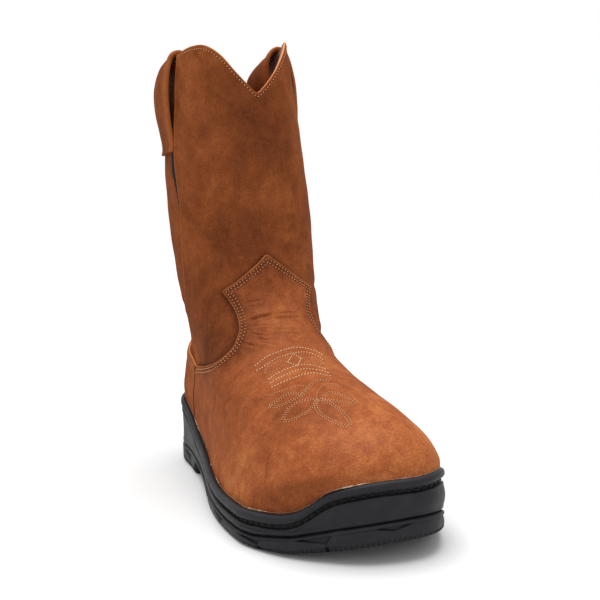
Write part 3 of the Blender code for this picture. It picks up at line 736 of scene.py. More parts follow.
def start(name, colour, roughness):
    """A new material with its Principled shader's constant colour and roughness."""
    look = bpy.data.materials.new(name)
    look.use_nodes = True
    look.diffuse_color = (*colour, 1)
    tree = look.node_tree
    shader = tree.nodes["Principled BSDF"]
    shader.inputs["Base Color"].default_value = (*colour, 1)
    shader.inputs["Roughness"].default_value = roughness
    return look, tree, shader


WAX_COAT = 0.10       # share of a full coat: a dull wax, that stays brown at grazing angles
NET_STRETCH = 1.08    # height of the lining's holes over their width


def leather(name, dark, base, light, gloss):
    """Oiled pull-up leather, buffed and waxed: cloudy colour, with painted light and shade in its tone, that
    pales at its cut edges, thin pale scuffs, darker rubbed patches, fine wrinkles in the folds and a soft
    warm shine. The grain's pebbles are drawn at 1.1 mm, coarser than life, so that they show."""
    look, tree, shader = start(name, base, gloss)
    place = add(tree, "TexCoord").outputs["Object"]
    cloud = noise(tree, place, 38, Detail=4.0, Distortion=0.6)
    mottle = noise(tree, place, 7, Detail=8.0, Roughness=0.70)
    speck = noise(tree, place, 1.0, Detail=3.0, Roughness=0.7)
    rub = noise(tree, place, 17, Detail=3.0, Distortion=1.0)
    # Colour: clouds, mottling, specks and the listed tone, which carries painted light and shade too, added
    # up, less the rubbed patches
    value = -0.24
    for part, weight in ((cloud, 0.45), (mottle, 0.48), (speck, 0.55), (attribute(tree, "tone"), 0.12)):
        value = reckon(tree, "MULTIPLY_ADD", part, weight, value)
    value = reckon(tree, "ADD", value, ranged(tree, rub, 0.54, 0.74, 0.0, -0.10))
    colour = add(tree, "ValToRGB", {"Fac": value},
                 ramp=((0.20, dark), (0.50, base), (0.80, light))).outputs["Color"]
    # Scuffs: thin veins where a noise crosses its middle, in the paler clouds only
    vein = reckon(tree, "ADD", noise(tree, place, 26, Detail=5.0, Distortion=0.3), -0.5)
    vein = ranged(tree, reckon(tree, "ABSOLUTE", vein), 0.0, 0.010, 1.0, 0.0)
    scuff = reckon(tree, "MULTIPLY", vein, ranged(tree, cloud, 0.48, 0.64, 0.0, 0.42))
    # Paler where the edge values are high: the cut edges, and on the straps a painted highlight along the
    # roll
    worn = reckon(tree, "MULTIPLY_ADD", attribute(tree, "edge"), mottle, scuff)
    # Bump: pebbles and wrinkles all over, and lines across the foot where it folds
    height = add(tree, "TexVoronoi", {"Vector": place, "Scale": per_mm(1.1)},
                 feature="SMOOTH_F1").outputs["Distance"]
    wrinkle = noise(tree, place, 4.5, Detail=4.0, Distortion=1.2)
    across = add(tree, "Mapping", {"Vector": place, "Scale": (0.16, 1.0, 1.0)}).outputs[0]
    line = noise(tree, across, 2.2, Detail=3.0, Distortion=0.8)
    fold = reckon(tree, "MULTIPLY", attribute(tree, "fold"), line)
    for part, weight in ((wrinkle, 1.2), (fold, 5.0)):
        height = reckon(tree, "MULTIPLY_ADD", part, weight, height)
    dress(tree, shader, blend(tree, worn, colour, (*light, 1)), height, 0.45, 0.35)
    shine = ranged(tree, mottle, 0.3, 0.7, gloss - 0.08, gloss + 0.12)
    tree.links.new(shine, shader.inputs["Coat Roughness"])
    shader.inputs["Specular IOR Level"].default_value = 0.0
    shader.inputs["Coat Weight"].default_value = WAX_COAT
    return look


def plain(name, colour, roughness, grit, deep):
    """A spun, woven or cut surface: one colour, and a grit whose grains and depth are so many mm, drawn
    coarser than life so that it shows."""
    look, tree, shader = start(name, colour, roughness)
    shader.inputs["Specular IOR Level"].default_value = 0.12
    place = add(tree, "TexCoord").outputs["Object"]
    grain = noise(tree, place, grit, Detail=4.0)
    shade = ranged(tree, grain, 0.3, 0.7, 0.75, 1.25)
    colour = add(tree, "VectorMath", {0: colour, "Scale": shade}, operation="SCALE").outputs[0]
    dress(tree, shader, colour, grain, 0.5, deep)
    return look


def rubber(name, colour, dust):
    """Moulded black rubber: matt to satin, with pale dust in random patches."""
    look, tree, shader = start(name, colour, 0.52)
    shader.inputs["Specular IOR Level"].default_value = 0.20
    place = add(tree, "TexCoord").outputs["Object"]
    patch = noise(tree, place, 9, Detail=6.0, Roughness=0.7)
    amount = ranged(tree, patch, 0.48, 0.78, 0.0, 0.45)
    grain = noise(tree, place, 0.6, Detail=2.0)
    dress(tree, shader, blend(tree, amount, (*colour, 1), (*dust, 1)), grain, 0.35, 0.12)
    tree.links.new(ranged(tree, patch, 0.3, 0.7, 0.42, 0.62), shader.inputs["Roughness"])
    return look


def mesh_cloth(name, colour, hole, pitch):
    """Knitted spacer mesh: rows of open holes in the UV map's mm, with painted shade in them between the
    orange yarns.
    """
    look, tree, shader = start(name, colour, 0.85)
    place = add(tree, "UVMap", uv_map="UVMap").outputs["UV"]
    parts = add(tree, "SeparateXYZ", {"Vector": place}).outputs
    ripples = [reckon(tree, "COSINE", reckon(tree, "MULTIPLY", part, np.pi/size))
               for part, size in zip(parts, (pitch, NET_STRETCH*pitch))]
    net = reckon(tree, "ABSOLUTE", reckon(tree, "MULTIPLY", *ripples))
    # The holes' dark colour is painted shade inside them
    colour = add(tree, "ValToRGB", {"Fac": net}, ramp=((0.30, colour), (0.50, hole))).outputs["Color"]
    dress(tree, shader, colour, net, 0.6, 0.4, invert=True)
    return look


# Settings

def length(label, note, default):
    """A size with its default in mm, kept in metres."""
    return bpy.props.FloatProperty(name=label, description=note, default=default*MM, unit="LENGTH", min=0.0)


def tint(label, note, hexa):
    """A colour with its default as sRGB hex, kept linear."""
    return bpy.props.FloatVectorProperty(name=label, description=note, default=linear(hexa), size=3,
                                         subtype="COLOR", min=0.0, max=1.0)


class BootSizes(bpy.types.PropertyGroup):
    """Sizes of the sewn and moulded details"""
    thread: length("Thread", "Thickness of the upper's thread", 0.75)
    rim_thread: length("Top line thread", "Thickness of the top line's thread", 0.55)
    pitch: length("Stitch", "Length of a stitch on the upper's seams", 2.6)
    toe_thread: length("Toe thread", "Thickness of the toe stitching's thread", 0.50)
    toe_pitch: length("Toe stitch", "Length of a stitch of the toe stitching", 2.1)
    first_row: length("First row", "First stitch row's distance from the edge", 2.4)
    second_row: length("Second row", "Second stitch row's distance from the edge", 4.8)
    leaf_gap: length("Leaf rows", "Distance between the toe stitching's double rows", 1.6)
    sole_pitch: length("Sole stitch", "Length of a stitch in the sole's groove", 5.2)
    rib: length("Rib", "Pitch of the ribs on the outsole's edge", 2.8)
    panel: length("Panel", "Length of a raised panel on the outsole's edge", 45.0)
    net: length("Lining net", "Pitch of the lining's open mesh", 2.6)


class BootColours(bpy.types.PropertyGroup):
    """Colours of the boot's materials"""
    shaft_dark: tint("Shaft, dark", "Darkest clouds of the shaft's leather", "4E250F")
    shaft: tint("Shaft", "Middle colour of the shaft's leather", "743C1D")
    shaft_light: tint("Shaft, light", "Palest clouds of the shaft's leather", "96562C")
    vamp_dark: tint("Vamp, dark", "Darkest clouds of the vamp's leather", "572A13")
    vamp: tint("Vamp", "Middle colour of the vamp and counter", "854726")
    vamp_light: tint("Vamp, light", "Palest clouds of the vamp and counter", "AE6C3E")
    edge: tint("Cut edge", "Raw edge of the leather", "C67E4E")
    flesh: tint("Flesh side", "Leather's back", "8A6446")
    thread: tint("Thread", "Waxed thread of the toe's arcs", "D8B48C")
    leaf_thread: tint("Leaf thread", "Waxed thread of the toe's leaves and the top line", "C4926A")
    seam_thread: tint("Seam thread", "Waxed thread of the vamp, counter and straps", "A87450")
    fibre: tint("Fibre", "Raw leather fibre over the bead", "A58C78")
    # painted shade of the needle holes
    hole: tint("Needle hole", "Dark holes at the stitches' ends", "40200F")
    rubber: tint("Rubber", "Moulded rubber of the sole", "19191C")
    dust: tint("Dust", "Pale dust on the rubber", "2E2D31")
    lining: tint("Lining", "Yarn of the lining's mesh", "F0771F")
    # painted shade in the lining's open holes
    lining_hole: tint("Lining, open", "What shows through the lining's mesh", "4A1907")
    facing: tint("Facing", "Band inside the top line", "8A6E62")
    elastic: tint("Gore", "Black strip in the side seams", "1B1A1A")
    footbed: tint("Footbed", "Cloth on the insole", "B9682F")
    floor: tint("Floor", "Floor and backdrop", "C6C6C6")


# Plain materials: name, colour, roughness, grit and its depth in mm, and what each gives the eye
PLAIN = (
    ("cut leather edge", "edge", 0.8, 0.8, 0.25),             # split fibres: matt, paler than the face
    ("leather flesh side", "flesh", 0.9, 0.7, 0.30),          # buffed back: matt and a little furry
    ("waxed polyester thread", "thread", 0.55, 0.5, 0.10),    # twisted and waxed: pale, a thin gleam
    ("waxed tan thread", "leaf_thread", 0.55, 0.5, 0.10),     # the same, a shade darker
    ("waxed brown thread", "seam_thread", 0.55, 0.5, 0.10),   # the same, close to the leather's colour
    ("raw leather fibre", "fibre", 0.95, 0.6, 0.25),          # torn fibres: dull, pale, hairy
    ("needle hole in leather", "hole", 0.9, 0.8, 0.05),       # painted shade of a needle hole: a dark dot
    ("waxed black thread", "elastic", 0.5, 0.5, 0.10),        # twisted: black, a thin gleam
    ("woven black elastic", "elastic", 0.9, 0.7, 0.20),       # ribbed weave: dull black
    ("woven facing tape", "facing", 0.9, 0.6, 0.20),          # plain weave: dull, dusty brown
    ("felted footbed cloth", "footbed", 0.95, 0.8, 0.25),     # needled felt: soft and matt
)


def looks_of(scene):
    """All materials, made once from the scene's colours."""
    c, s = scene.boot_colours, scene.boot_sizes
    if "waxy pull-up leather" not in bpy.data.materials:
        leather("waxy pull-up leather", tuple(c.shaft_dark), tuple(c.shaft), tuple(c.shaft_light), 0.50)
        leather("waxy pull-up leather, vamp", tuple(c.vamp_dark), tuple(c.vamp), tuple(c.vamp_light), 0.46)
        for name, colour, roughness, grit, deep in PLAIN:
            plain(name, tuple(getattr(c, colour)), roughness, grit, deep)
        rubber("moulded black rubber", tuple(c.rubber), tuple(c.dust))
        mesh_cloth("knitted spacer mesh", tuple(c.lining), tuple(c.lining_hole), s.net/MM)
    return bpy.data.materials


# Pieces of the upper

# Bands beside the panels' edges: amount, place and width in mm
PALE_EDGE, PALE_SEAM = (1.4, 0.0, 0.8), (1.25, 1.2, 1.4)      # paler leather
SEAM_SWELL, UNDER_SWELL, UNDER_DROP = (0.7, 0.0, 3.2), (0.25, 0.0, 4.0), (0.6, 0.0, 3.0)  # mm in height
# Painted shade in the next line's three bands: on the shaft beside the vamp's raised edge, on the back panel
# where it dips under the front one, and in the counter's groove under the vamp
BESIDE_VAMP_SHADE, SEAM_SHADE, GROOVE_SHADE = (2.2, 0.0, 5.0), (2.2, 2.6, 1.2), (6.0, 3.3, 0.9)   # darker leather
ROW_DIRT = ((1.0, 3.6, 2.6), (0.8, 6.0, 7.0))         # the same along the vamp's stitch rows
BESIDE_END, ROW_DIRT_START = (0.67, 0.71), (0.27, 0.40)       # levels where two of them run out
BACK_DIP, COUNTER_DIP = (2.2, 6.0), (3.2, 4.1)        # mm from the side seams where panels stop dipping
COUNTER_DROP = OVERLAY + 0.45         # how deep the counter dips
CREASED = (0.441, 0.599)              # levels of the instep's creases, with closer rows
ROW_START = 0.279     # level from which the tongue is stitched
COUNTER_ROW = 0.247   # column where the counter's rows end
RIM_ROW, STRAP_ROW = 2.8, 0.22        # stitch rows: mm under the top line, share across a strap
RIM_ENDS = ((0.256, 0.744, STEP), (-0.246, 0.246, 0.0))       # top line's rows: columns, height of panel
# Needle holes are dark dots of painted shade, lifted this far over the leather
HOLE_LIFT = 0.10      # needle holes over the leather, mm


def hide(looks, name):
    """A panel's three materials: face, flesh side and cut edge."""
    return [looks[name], looks["leather flesh side"], looks["cut leather edge"]]


def panel_values(k, level, distance):
    """Colour clouds, some of them painted light and shade, fine wrinkles, and how near the cut edge is:
    highest at the edge, gone after 1.5 mm.
    """
    return {"tone": tone(k, level), "edge": band(distance, *PALE_EDGE), "fold": folds(k, level)}


class BOOT_OT_shaft(bpy.types.Operator):
    """Front and back panels of the shaft, the front one lapped over the back one at the side seams"""
    bl_idname = "boot.shaft"
    bl_label = "Shaft panels"

    def execute(self, context):
        looks = looks_of(context.scene)
        leathers = hide(looks, "waxy pull-up leather")
        share = ((1 + spread(150, 0.45))/2)[:, None]
        # Front panel: swells a little along its seams, whose edges pale in a band
        k = (0.5 + FRONT_EDGE*spread(190, 0.88))[None]
        level = FRONT_FOOT + (top_level(k) - FRONT_FOOT)*share
        side, top = (FRONT_EDGE - np.abs(k - 0.5))*SHAFT_K_MM, (top_level(k) - level)*RISE
        swell = band(side, *SEAM_SWELL)
        face = lap(level) + relief(k, level) + swell - rounded(side, SEAM_ROUND) - rounded(top, RIM_ROUND)
        under = lap(level) - SKIN + band(side, *UNDER_SWELL) - band(top, *UNDER_DROP)
        under = np.minimum(under, face - THINNEST)
        values = panel_values(k, level, np.minimum(side, top))
        values["edge"] = np.maximum(values["edge"], band(side, *PALE_SEAM))
        beside = (np.abs(k - 0.5) - vamp_width(level))*K_MM
        # Painted shade on the shaft beside the vamp's raised edge
        values["tone"] -= band(beside, *BESIDE_VAMP_SHADE)*(1 - ease(*BESIDE_END, level))
        piece = sheet("shaft_front", k, level, face, under, leathers, values)
        stand_for(piece, "leather_brown", "upper")
        # Back panel: dips under the front one by its own thickness, with painted shade where it dips
        k = (BACK_EDGE*spread(170, 0.80))[None]
        level = BACK_FOOT + (top_level(k) - BACK_FOOT)*share[::2]
        side, top = (BACK_EDGE - np.abs(k))*SHAFT_K_MM, (top_level(k) - level)*RISE
        tucked = SKIN*(1 - ease(*BACK_DIP, side))
        face = relief(k, level) - tucked - rounded(top, RIM_ROUND)
        values = panel_values(k, level, top)
        # Painted shade where the back panel dips under the front one
        values["tone"] -= band(side, *SEAM_SHADE)
        piece = sheet("shaft_back", k, level, face, np.minimum(face - THINNEST, -SKIN), leathers, values)
        stand_for(piece, "leather_brown", "upper")
        return {"FINISHED"}


class BOOT_OT_vamp(bpy.types.Operator):
    """Vamp over the toe and instep, with the tongue's waist, corners and tip"""
    bl_idname = "boot.vamp"
    bl_label = "Vamp"

    def execute(self, context):
        looks = looks_of(context.scene)
        # Rows of levels over the tongue's own width. The face is a thickness off the upper, follows the
        # relief and drops in a quarter circle at the cut edge; dirt gathers along the stitch rows
        corner, tip = VAMP_TIP[0, 0], VAMP_TIP[-1, 0]
        rows = (np.linspace(OVERLAY_FOOT, tip, 150), np.linspace(*CREASED, 104),
                (LAP_LEVEL, corner, tip - 0.004, tip - 0.002))
        level = np.sort(np.concatenate(rows))[:, None]
        width = vamp_width(level)
        k = 0.5 + width*spread(184, 0.80)[None]
        slope = np.gradient(width[:, 0], level[:, 0])[:, None]*K_MM/LEVEL_MM
        distance = (width - np.abs(k - 0.5))*K_MM/np.sqrt(1 + slope**2)
        distance = np.minimum(distance, (tip + 0.001 - level)*LEVEL_MM)
        level = level*np.ones_like(k)
        base = lap(level) + OVERLAY_GAP
        face = base + OVERLAY + relief(k, level) - rounded(distance, EDGE_ROUND)
        leathers = hide(looks, "waxy pull-up leather, vamp")
        values = panel_values(k, level, distance)
        dirt = sum(band(distance, *row) for row in ROW_DIRT)
        values["tone"] -= dirt*ease(*ROW_DIRT_START, level)
        piece = sheet("vamp_leather", k, level, face, np.minimum(base, face - 0.4), leathers, values)
        stand_for(piece, "leather_vamp", "vamp")
        return {"FINISHED"}


class BOOT_OT_counter(bpy.types.Operator):
    """Counter round the heel, tucked under the vamp at both side seams"""
    bl_idname = "boot.counter"
    bl_label = "Counter"

    def execute(self, context):
        looks = looks_of(context.scene)
        # A thickness off the upper, and down under the vamp in a groove at the side seams, darkened there
        # with painted shade
        k = (COUNTER_EDGE*spread(190, 0.9))[None]
        top = counter_top(k)
        level = OVERLAY_FOOT + (top - OVERLAY_FOOT)*((1 + spread(80, 0.5))/2)[:, None]
        distance, side = (top - level)*LEVEL_MM, (COUNTER_EDGE - np.abs(k))*K_MM
        tucked = COUNTER_DROP*(1 - ease(*COUNTER_DIP, side))
        face = FACE + relief(k, level) - rounded(distance, EDGE_ROUND) - tucked
        under = np.minimum(OVERLAY_GAP - 0.5, face - 0.3)
        leathers = hide(looks, "waxy pull-up leather, vamp")
        values = panel_values(k, level, distance)
        # Painted shade in the groove under the vamp's edge
        values["tone"] -= band(side, *GROOVE_SHADE)
        piece = sheet("counter_leather", k, level, face, under, leathers, values)
        stand_for(piece, "leather_vamp", "counter")
        return {"FINISHED"}


LINING_ROUND, LINING_TALL, LINING_TAPE = 430.0, 310.0, 7.0    # lining laid flat, and its tape's width
GORE_HEIGHTS, GORE_TAPER = (206, 252), (210, 246)     # mm over the floor
GORE_WIDTH = (0.0018, 0.0110)         # at the narrow end, and what it gains, in k
GORE_OUT, GORE_THICK = 1.1, 0.8       # its face off the last, and its thickness
GORE_RIB, GORE_PITCH = 0.15, 1.6      # depth and pitch of the elastic's ribs


class BOOT_OT_lining(bpy.types.Operator):
    """Mesh lining of the whole inside, with a tape facing under the top line"""
    bl_idname = "boot.lining"
    bl_label = "Lining"

    def execute(self, context):
        looks = looks_of(context.scene)
        # Two grids of the last, inside the leather and inside the wall, joined into one loop of rows
        columns, foot = 200, 0.004
        k = np.arange(columns)[None]/columns
        share = np.linspace(0, 1, 120)[:, None]
        level = foot + (top_level(k) - 1.2/RISE - foot)*share
        outer, inner = shell(k, level, -SKIN - 0.05), shell(k, level, -WALL - 0.1)
        points = np.concatenate([outer, inner[::-1], outer[:1]])
        uv = np.stack([k*np.ones_like(level)*LINING_ROUND, level*RISE], -1)
        uv = np.concatenate([uv, uv[::-1], uv[:1]])
        rise = np.concatenate([share, share[::-1]])[:, 0]*LINING_TALL
        tape = np.repeat(rise > LINING_TALL - LINING_TAPE, columns)
        quads = grid_faces(len(points), columns, closed=True)
        cloths = [looks["knitted spacer mesh"], looks["woven facing tape"]]
        piece = make("lining", points, [quads[~tape], quads[tape]], cloths, marks=(0, 1), uv=uv, merge=True)
        stand_for(piece, "leather_brown", "upper")
        return {"FINISHED"}


class BOOT_OT_gores(bpy.types.Operator):
    """Black ribbed strips in the side seams, tapering out below the straps"""
    bl_idname = "boot.gores"
    bl_label = "Gore strips"

    def execute(self, context):
        looks = looks_of(context.scene)
        # Strips of the last whose width eases out downwards, with sine ribs across
        height = np.linspace(*GORE_HEIGHTS, 70)[:, None]
        width = GORE_WIDTH[0] + GORE_WIDTH[1]*ease(*GORE_TAPER, height)
        for name, mirrored in (("gore_lateral", False), ("gore_medial", True)):
            k = FRONT_EDGE - width*np.linspace(1, 0, 8)[None]
            level = (1 + (height - V_HEIGHT)/RISE)*np.ones_like(k)
            out = GORE_OUT + GORE_RIB*np.sin(2*np.pi*height/GORE_PITCH) + relief(k, level)
            k = 1 - k[:, ::-1] if mirrored else k
            elastic = [looks["woven black elastic"]]*3
            piece = sheet(name + "_strip", k, level, out, out - GORE_THICK, elastic, {})
            stand_for(piece, "elastic_black", name)
        return {"FINISHED"}


STRAP_COLUMNS, STRAP_STATIONS = 40, 150
STRAP_SQUARE = (0.35, 0.6)            # exponents that square the section across and around
STRAP_ROLL, STRAP_LIP = (1.0, 0.92, 0.10), 0.018      # roll across the width, lip at the sewn end
STRAP_THICK, STRAP_LIFT = (1.05, 1.25, 0.35), (1.1, 0.6, 0.3)         # mm: flat, more at roll, at lip
# The first band lies on the roll and is a painted highlight
STRAP_PALE = ((1.3, 0.95, 0.12), (0.5, 0.0, 0.05))    # paler bands across the width


def strap_frame(mirrored, across, along):
    """A pull strap's path at shares of its width and length: column, level, distance out of the shaft's
    face, and the path's direction as rise and distance. The path is smooth by its length and takes up
    the rim's slope on its way to the top."""
    knots = arc_length(STRAP_PATH)
    s = along*knots[-1]
    rise, out = (spline(knots, STRAP_PATH[:, i], s) for i in (0, 1))
    run = unit(np.stack([spline(knots, STRAP_PATH[:, i], s + 0.5) - spline(knots, STRAP_PATH[:, i], s - 0.5)
                         for i in (0, 1)], -1))
    out = out*np.where(out > 0, 1 - STRAP_SKEW*across, 1.2 - 2*STRAP_SKEW*across)
    k, middle = STRAP_TURN[0] + (STRAP_TURN[1] - STRAP_TURN[0])*across, np.mean(STRAP_TURN)
    k, middle = (1 - k, 1 - middle) if mirrored else (k, middle)
    rim = top_level(middle) + (top_level(k) - top_level(middle))*ease(*STRAP_SLANT, rise)
    return k, rim + rise/RISE, out, run


def strap_point(mirrored, across, along, lift):
    """Points so far off a pull strap's path, at right angles to it."""
    k, level, out, run = strap_frame(mirrored, across, along)
    return shell(k, level - run[..., 1]*lift/RISE, out + run[..., 0]*lift)


class BOOT_OT_straps(bpy.types.Operator):
    """Pull straps: leather folded along its front edge into a thick roll, looped over the rim"""
    bl_idname = "boot.straps"
    bl_label = "Pull straps"

    def execute(self, context):
        looks = looks_of(context.scene)
        # Section: a flat ellipse of raised cosines and sines, fuller at the roll and at the sewn end's lip
        angle = np.linspace(0, 2*np.pi, STRAP_COLUMNS, endpoint=False)[None]
        across, around = (np.sign(wave)*np.abs(wave)**power
                          for wave, power in zip((np.cos(angle), np.sin(angle)), STRAP_SQUARE))
        across = 0.5 + 0.5*across
        along = np.linspace(0, 1, STRAP_STATIONS)[:, None]
        roll = band(across, *STRAP_ROLL)*(0.45 + 0.55*ease(0.02, 0.12, along))
        lip = bell(along, STRAP_LIP)
        thick, lift = (flat + more*roll + end*lip for flat, more, end in (STRAP_THICK, STRAP_LIFT))
        wide = across*np.ones((STRAP_STATIONS + 2, 1))
        clouds = 0.5*np.sin(np.linspace(0, 9, STRAP_STATIONS + 2))[:, None] - 0.4
        # The edge values paint a highlight along the roll
        values = {"tone": clouds + 0*wide, "edge": sum(band(wide, *row) for row in STRAP_PALE)}
        for name, mirrored in (("pull_strap_lateral", False), ("pull_strap_medial", True)):
            soft = 0.25*waves(strap_point(mirrored, across, along, 0.0)*1.3)
            rows = strap_point(mirrored, across, along, lift + around*thick + soft)
            rows = np.concatenate([rows[:1].mean(1, keepdims=True) + 0*rows[:1], rows,
                                   rows[-1:].mean(1, keepdims=True) + 0*rows[:1]])
            faces = [grid_faces(STRAP_STATIONS + 2, STRAP_COLUMNS, closed=True, flip=not mirrored)]
            piece = make(name + "_leather", rows, faces, [looks["waxy pull-up leather"]],
                         values=values, merge=True)
            stand_for(piece, "leather_brown", name)
        return {"FINISHED"}


def tongue_row(distance):
    """Stitch row inside the vamp's edge: the four edges moved in and mitred at corners and tip."""
    low = np.linspace(ROW_START, VAMP_TIP[0, 0], 160)
    high = np.linspace(VAMP_TIP[0, 0] + 1e-4, VAMP_TIP[-1, 0], 60)
    edges = [np.stack([0.5 - vamp_width(level), level], -1) for level in (low, high)]
    edges += [np.stack([1 - edge[::-1, 0], edge[::-1, 1]], -1) for edge in edges[::-1]]
    row = inset(edges[0], -distance)
    for edge in edges[1:]:
        row = mitred(row, inset(edge, -distance))
    return row


def counter_row(distance):
    """Stitch row under the counter's upper edge, from seam to seam."""
    k = np.linspace(-COUNTER_ROW, COUNTER_ROW, 240)
    return inset(np.stack([k, counter_top(k)], -1), -distance)


class BOOT_OT_seams(bpy.types.Operator):
    """Stitch rows of the vamp, the counter, the top line and the straps, with painted shade at their needle
    holes
    """
    bl_idname = "boot.seams"
    bl_label = "Seams"

    def execute(self, context):
        looks, sizes = looks_of(context.scene), context.scene.boot_sizes
        paths, rims, straps = [], [], []
        for distance in (sizes.first_row/MM, sizes.second_row/MM):
            row = tongue_row(distance)
            paths.append(on_face(row, lap(row[:, 1]) + FACE))
            paths.append(on_face(counter_row(distance), FACE))
        for low, high, height in RIM_ENDS:
            k = np.linspace(low, high, 300)
            rims.append(on_face(np.stack([k, top_level(k) - RIM_ROW/RISE], -1), height))
        for mirrored in (False, True):
            line, over = (strap_point(mirrored, np.full(120, STRAP_ROW), np.linspace(0.01, 0.42, 120), lift)
                          for lift in (2.0, 3.0))
            straps.append((line, unit(over - line)))
        pitch, thick = sizes.pitch/MM, sizes.thread/MM
        rows = ((paths, pitch, 0.54, thick, 0.72, "waxed brown thread"),
                (straps, pitch, 0.60, 0.7*thick, 0.70, "waxed brown thread"),
                (rims, pitch, 0.46, sizes.rim_thread/MM, 0.78, "waxed tan thread"))
        sew(looks, "seam", rows, "leather_brown")
        return {"FINISHED"}


def sew(looks, name, rows, slot):
    """Thread and the painted shade of its needle holes, for groups of paths, as two pieces; a group has its
    stitches' pitch, their share of the pitch, its thread's thickness, the holes' radius as a share of it,
    and its thread."""
    points, faces, marks, dots = [], [], [], []
    for mark, (paths, pitch, share, thick, hole, _) in enumerate(rows):
        rods, quads, caps, ends = stitches(paths, pitch, thick, share)
        first = sum(len(part) for part in points)
        points.append(rods)
        faces += [quads + first, caps + first]
        marks += [mark, mark]
        dots.append(discs(ends, hole*thick, HOLE_LIFT))
    threads = [looks[row[-1]] for row in rows]
    stand_for(make(name + "_thread", np.concatenate(points), faces, threads, marks=marks, sharp=70), slot)
    corners = np.concatenate(dots)
    faces = [np.arange(len(corners)).reshape(-1, DOT)]
    # Dark dots of painted shade at the needle holes
    stand_for(make(name + "_holes", corners, faces, [looks["needle hole in leather"]]), slot)


class BOOT_OT_toe_stitching(bpy.types.Operator):
    """Toe stitching: arcs, a diamond between two ovals, and a flower of doubled leaves"""
    bl_idname = "boot.toe_stitching"
    bl_label = "Toe stitching"

    def execute(self, context):
        looks, sizes = looks_of(context.scene), context.scene.boot_sizes
        arcs, leaves = [], []
        for kind, doubled, points in TOE_CURVES:
            path = curve(np.asarray(points) + (0.5, 0.0))
            rows = [path] + ([inset(path, -sizes.leaf_gap/MM)] if doubled else [])
            group = arcs if kind in ("arc", "side") else leaves
            group += [on_face(row, lap(row[:, 1]) + FACE) for row in rows]
        pitch, thick = sizes.toe_pitch/MM, sizes.toe_thread/MM
        rows = ((arcs, pitch, 0.76, thick, 0.74, "waxed polyester thread"),
                (leaves, 0.85*pitch, 0.64, 0.80*thick, 0.72, "waxed tan thread"))
        sew(looks, "toe", rows, "leather_vamp")
        return {"FINISHED"}


# Pieces of the sole

def outline(k):
    """Sole's base line in plan: points just over the feather line and their outward directions."""
    turn = seam_turn(k, BASE_LEVEL)
    point = last(turn, BASE_LEVEL)
    run = last(turn + BASE_STEP, BASE_LEVEL) - last(turn - BASE_STEP, BASE_LEVEL)
    return point, unit(np.stack([run[..., 1], -run[..., 0], np.zeros_like(turn)], -1))


def sole_at(name, y):
    """A column of the outsole's table at places along the foot, straight between its rows."""
    return np.interp(-y, -SOLE[:, 0], SOLE[:, SOLE_COLUMNS.index(name)])


def bead_top(k):
    """Height of the bead's top round the boot, smooth between its table's rows."""
    return read(BEAD, seam_turn(k, BASE_LEVEL))


def from_heel(k):
    """Columns counted from the heel on both sides, 0.5 at the toe."""
    return np.minimum(k, 1 - k)


def on_last(k, z, out):
    """Ring at heights z on the last's lower wall, moved out."""
    low, high = (last(seam_turn(k, level), level)[..., 2] for level in (0.0, WALL_LEVEL))
    ring = shell(k, np.clip(WALL_LEVEL*(z - low)/(high - low), 0, 0.2), out)
    ring[..., 2] = z
    return ring


def wall_ring(k, out, z):
    """Ring beside the base line, at heights z."""
    point, away = outline(k)
    ring = point + np.broadcast_to(out, np.shape(k))[..., None]*away
    ring[..., 2] = z
    return ring


def even_columns(count):
    """Columns k at even distances along the base line, the heel first, each with a mirror column."""
    half = np.linspace(0, 0.5, 400)
    length = arc_length(outline(half)[0])
    k = np.interp(np.linspace(0, length[-1], count//2 + 1), length, half)
    return np.concatenate([k, 1 - k[-2:0:-1]])


TOE_PART, HEEL_PART = (0.36, 0.42), (0.17, 0.20)      # columns where the toe begins and the heel ends
BEAD_FOOT, BEAD_BULGE = 4.4, 2.9      # bead's foot off the base line, and how far it stands out


class BOOT_OT_bead(bpy.types.Operator):
    """Rounded rim on the cup sole's wall, stepped up over the toe, and the raw leather margin over it"""
    bl_idname = "boot.bead"
    bl_label = "Welt bead"

    def execute(self, context):
        looks = looks_of(context.scene)
        k = even_columns(560)
        top = bead_top(k)
        low = top - BEAD_HEIGHT - 1.0
        # Bead: nearly half an oval carried round the base line, both ends drawn in to the leather
        rings = [on_last(k, low + 0.6, CUP_GAP - 1.0), wall_ring(k, BEAD_FOOT, low)]
        for a in np.linspace(-0.42*np.pi, 0.5*np.pi, 14):
            z = low + (top - low)*(0.5 + 0.5*np.sin(a))
            rings.append(wall_ring(k, BEAD_FOOT + BEAD_BULGE*np.cos(a)**0.8, z))
        rings += [on_last(k, top - 0.3, CUP_GAP - 0.4), on_last(k, top - 1.4, CUP_GAP - 1.0)]
        rings = np.stack(rings + rings[:1])
        piece = ring_piece("bead_rubber", rings, [looks["moulded black rubber"]])
        stand_for(piece, "rubber_black", "welt_bead")
        # Raw margin: a thread's width of fibres, that sine waves gather into tufts
        edge = on_last(k, top + 0.15, FACE + 0.1)
        normal = unit(outline(k)[1] + (0, 0, 0.6))
        along = arc_length(edge)
        gather = ease(0.55, 1.0, 0.5 + 0.35*np.sin(along/13) + 0.30*np.sin(along/5.3 + 1))
        stray = 0.08 + gather*(0.26 + 0.16*np.sin(along/1.3) + 0.14*np.sin(along/0.71 + 2))
        run = unit(np.roll(edge, -1, axis=0) - np.roll(edge, 1, axis=0))
        side = np.cross(run, normal)
        thick = np.clip(stray, 0.06, 1)[:, None]
        tube = [edge + thick*(cosine*normal + sine*side) for cosine, sine in zip(*circle(6))]
        piece = ring_piece("raw_margin", np.stack(tube + tube[:1]), [looks["raw leather fibre"]])
        stand_for(piece, "leather_vamp")
        return {"FINISHED"}


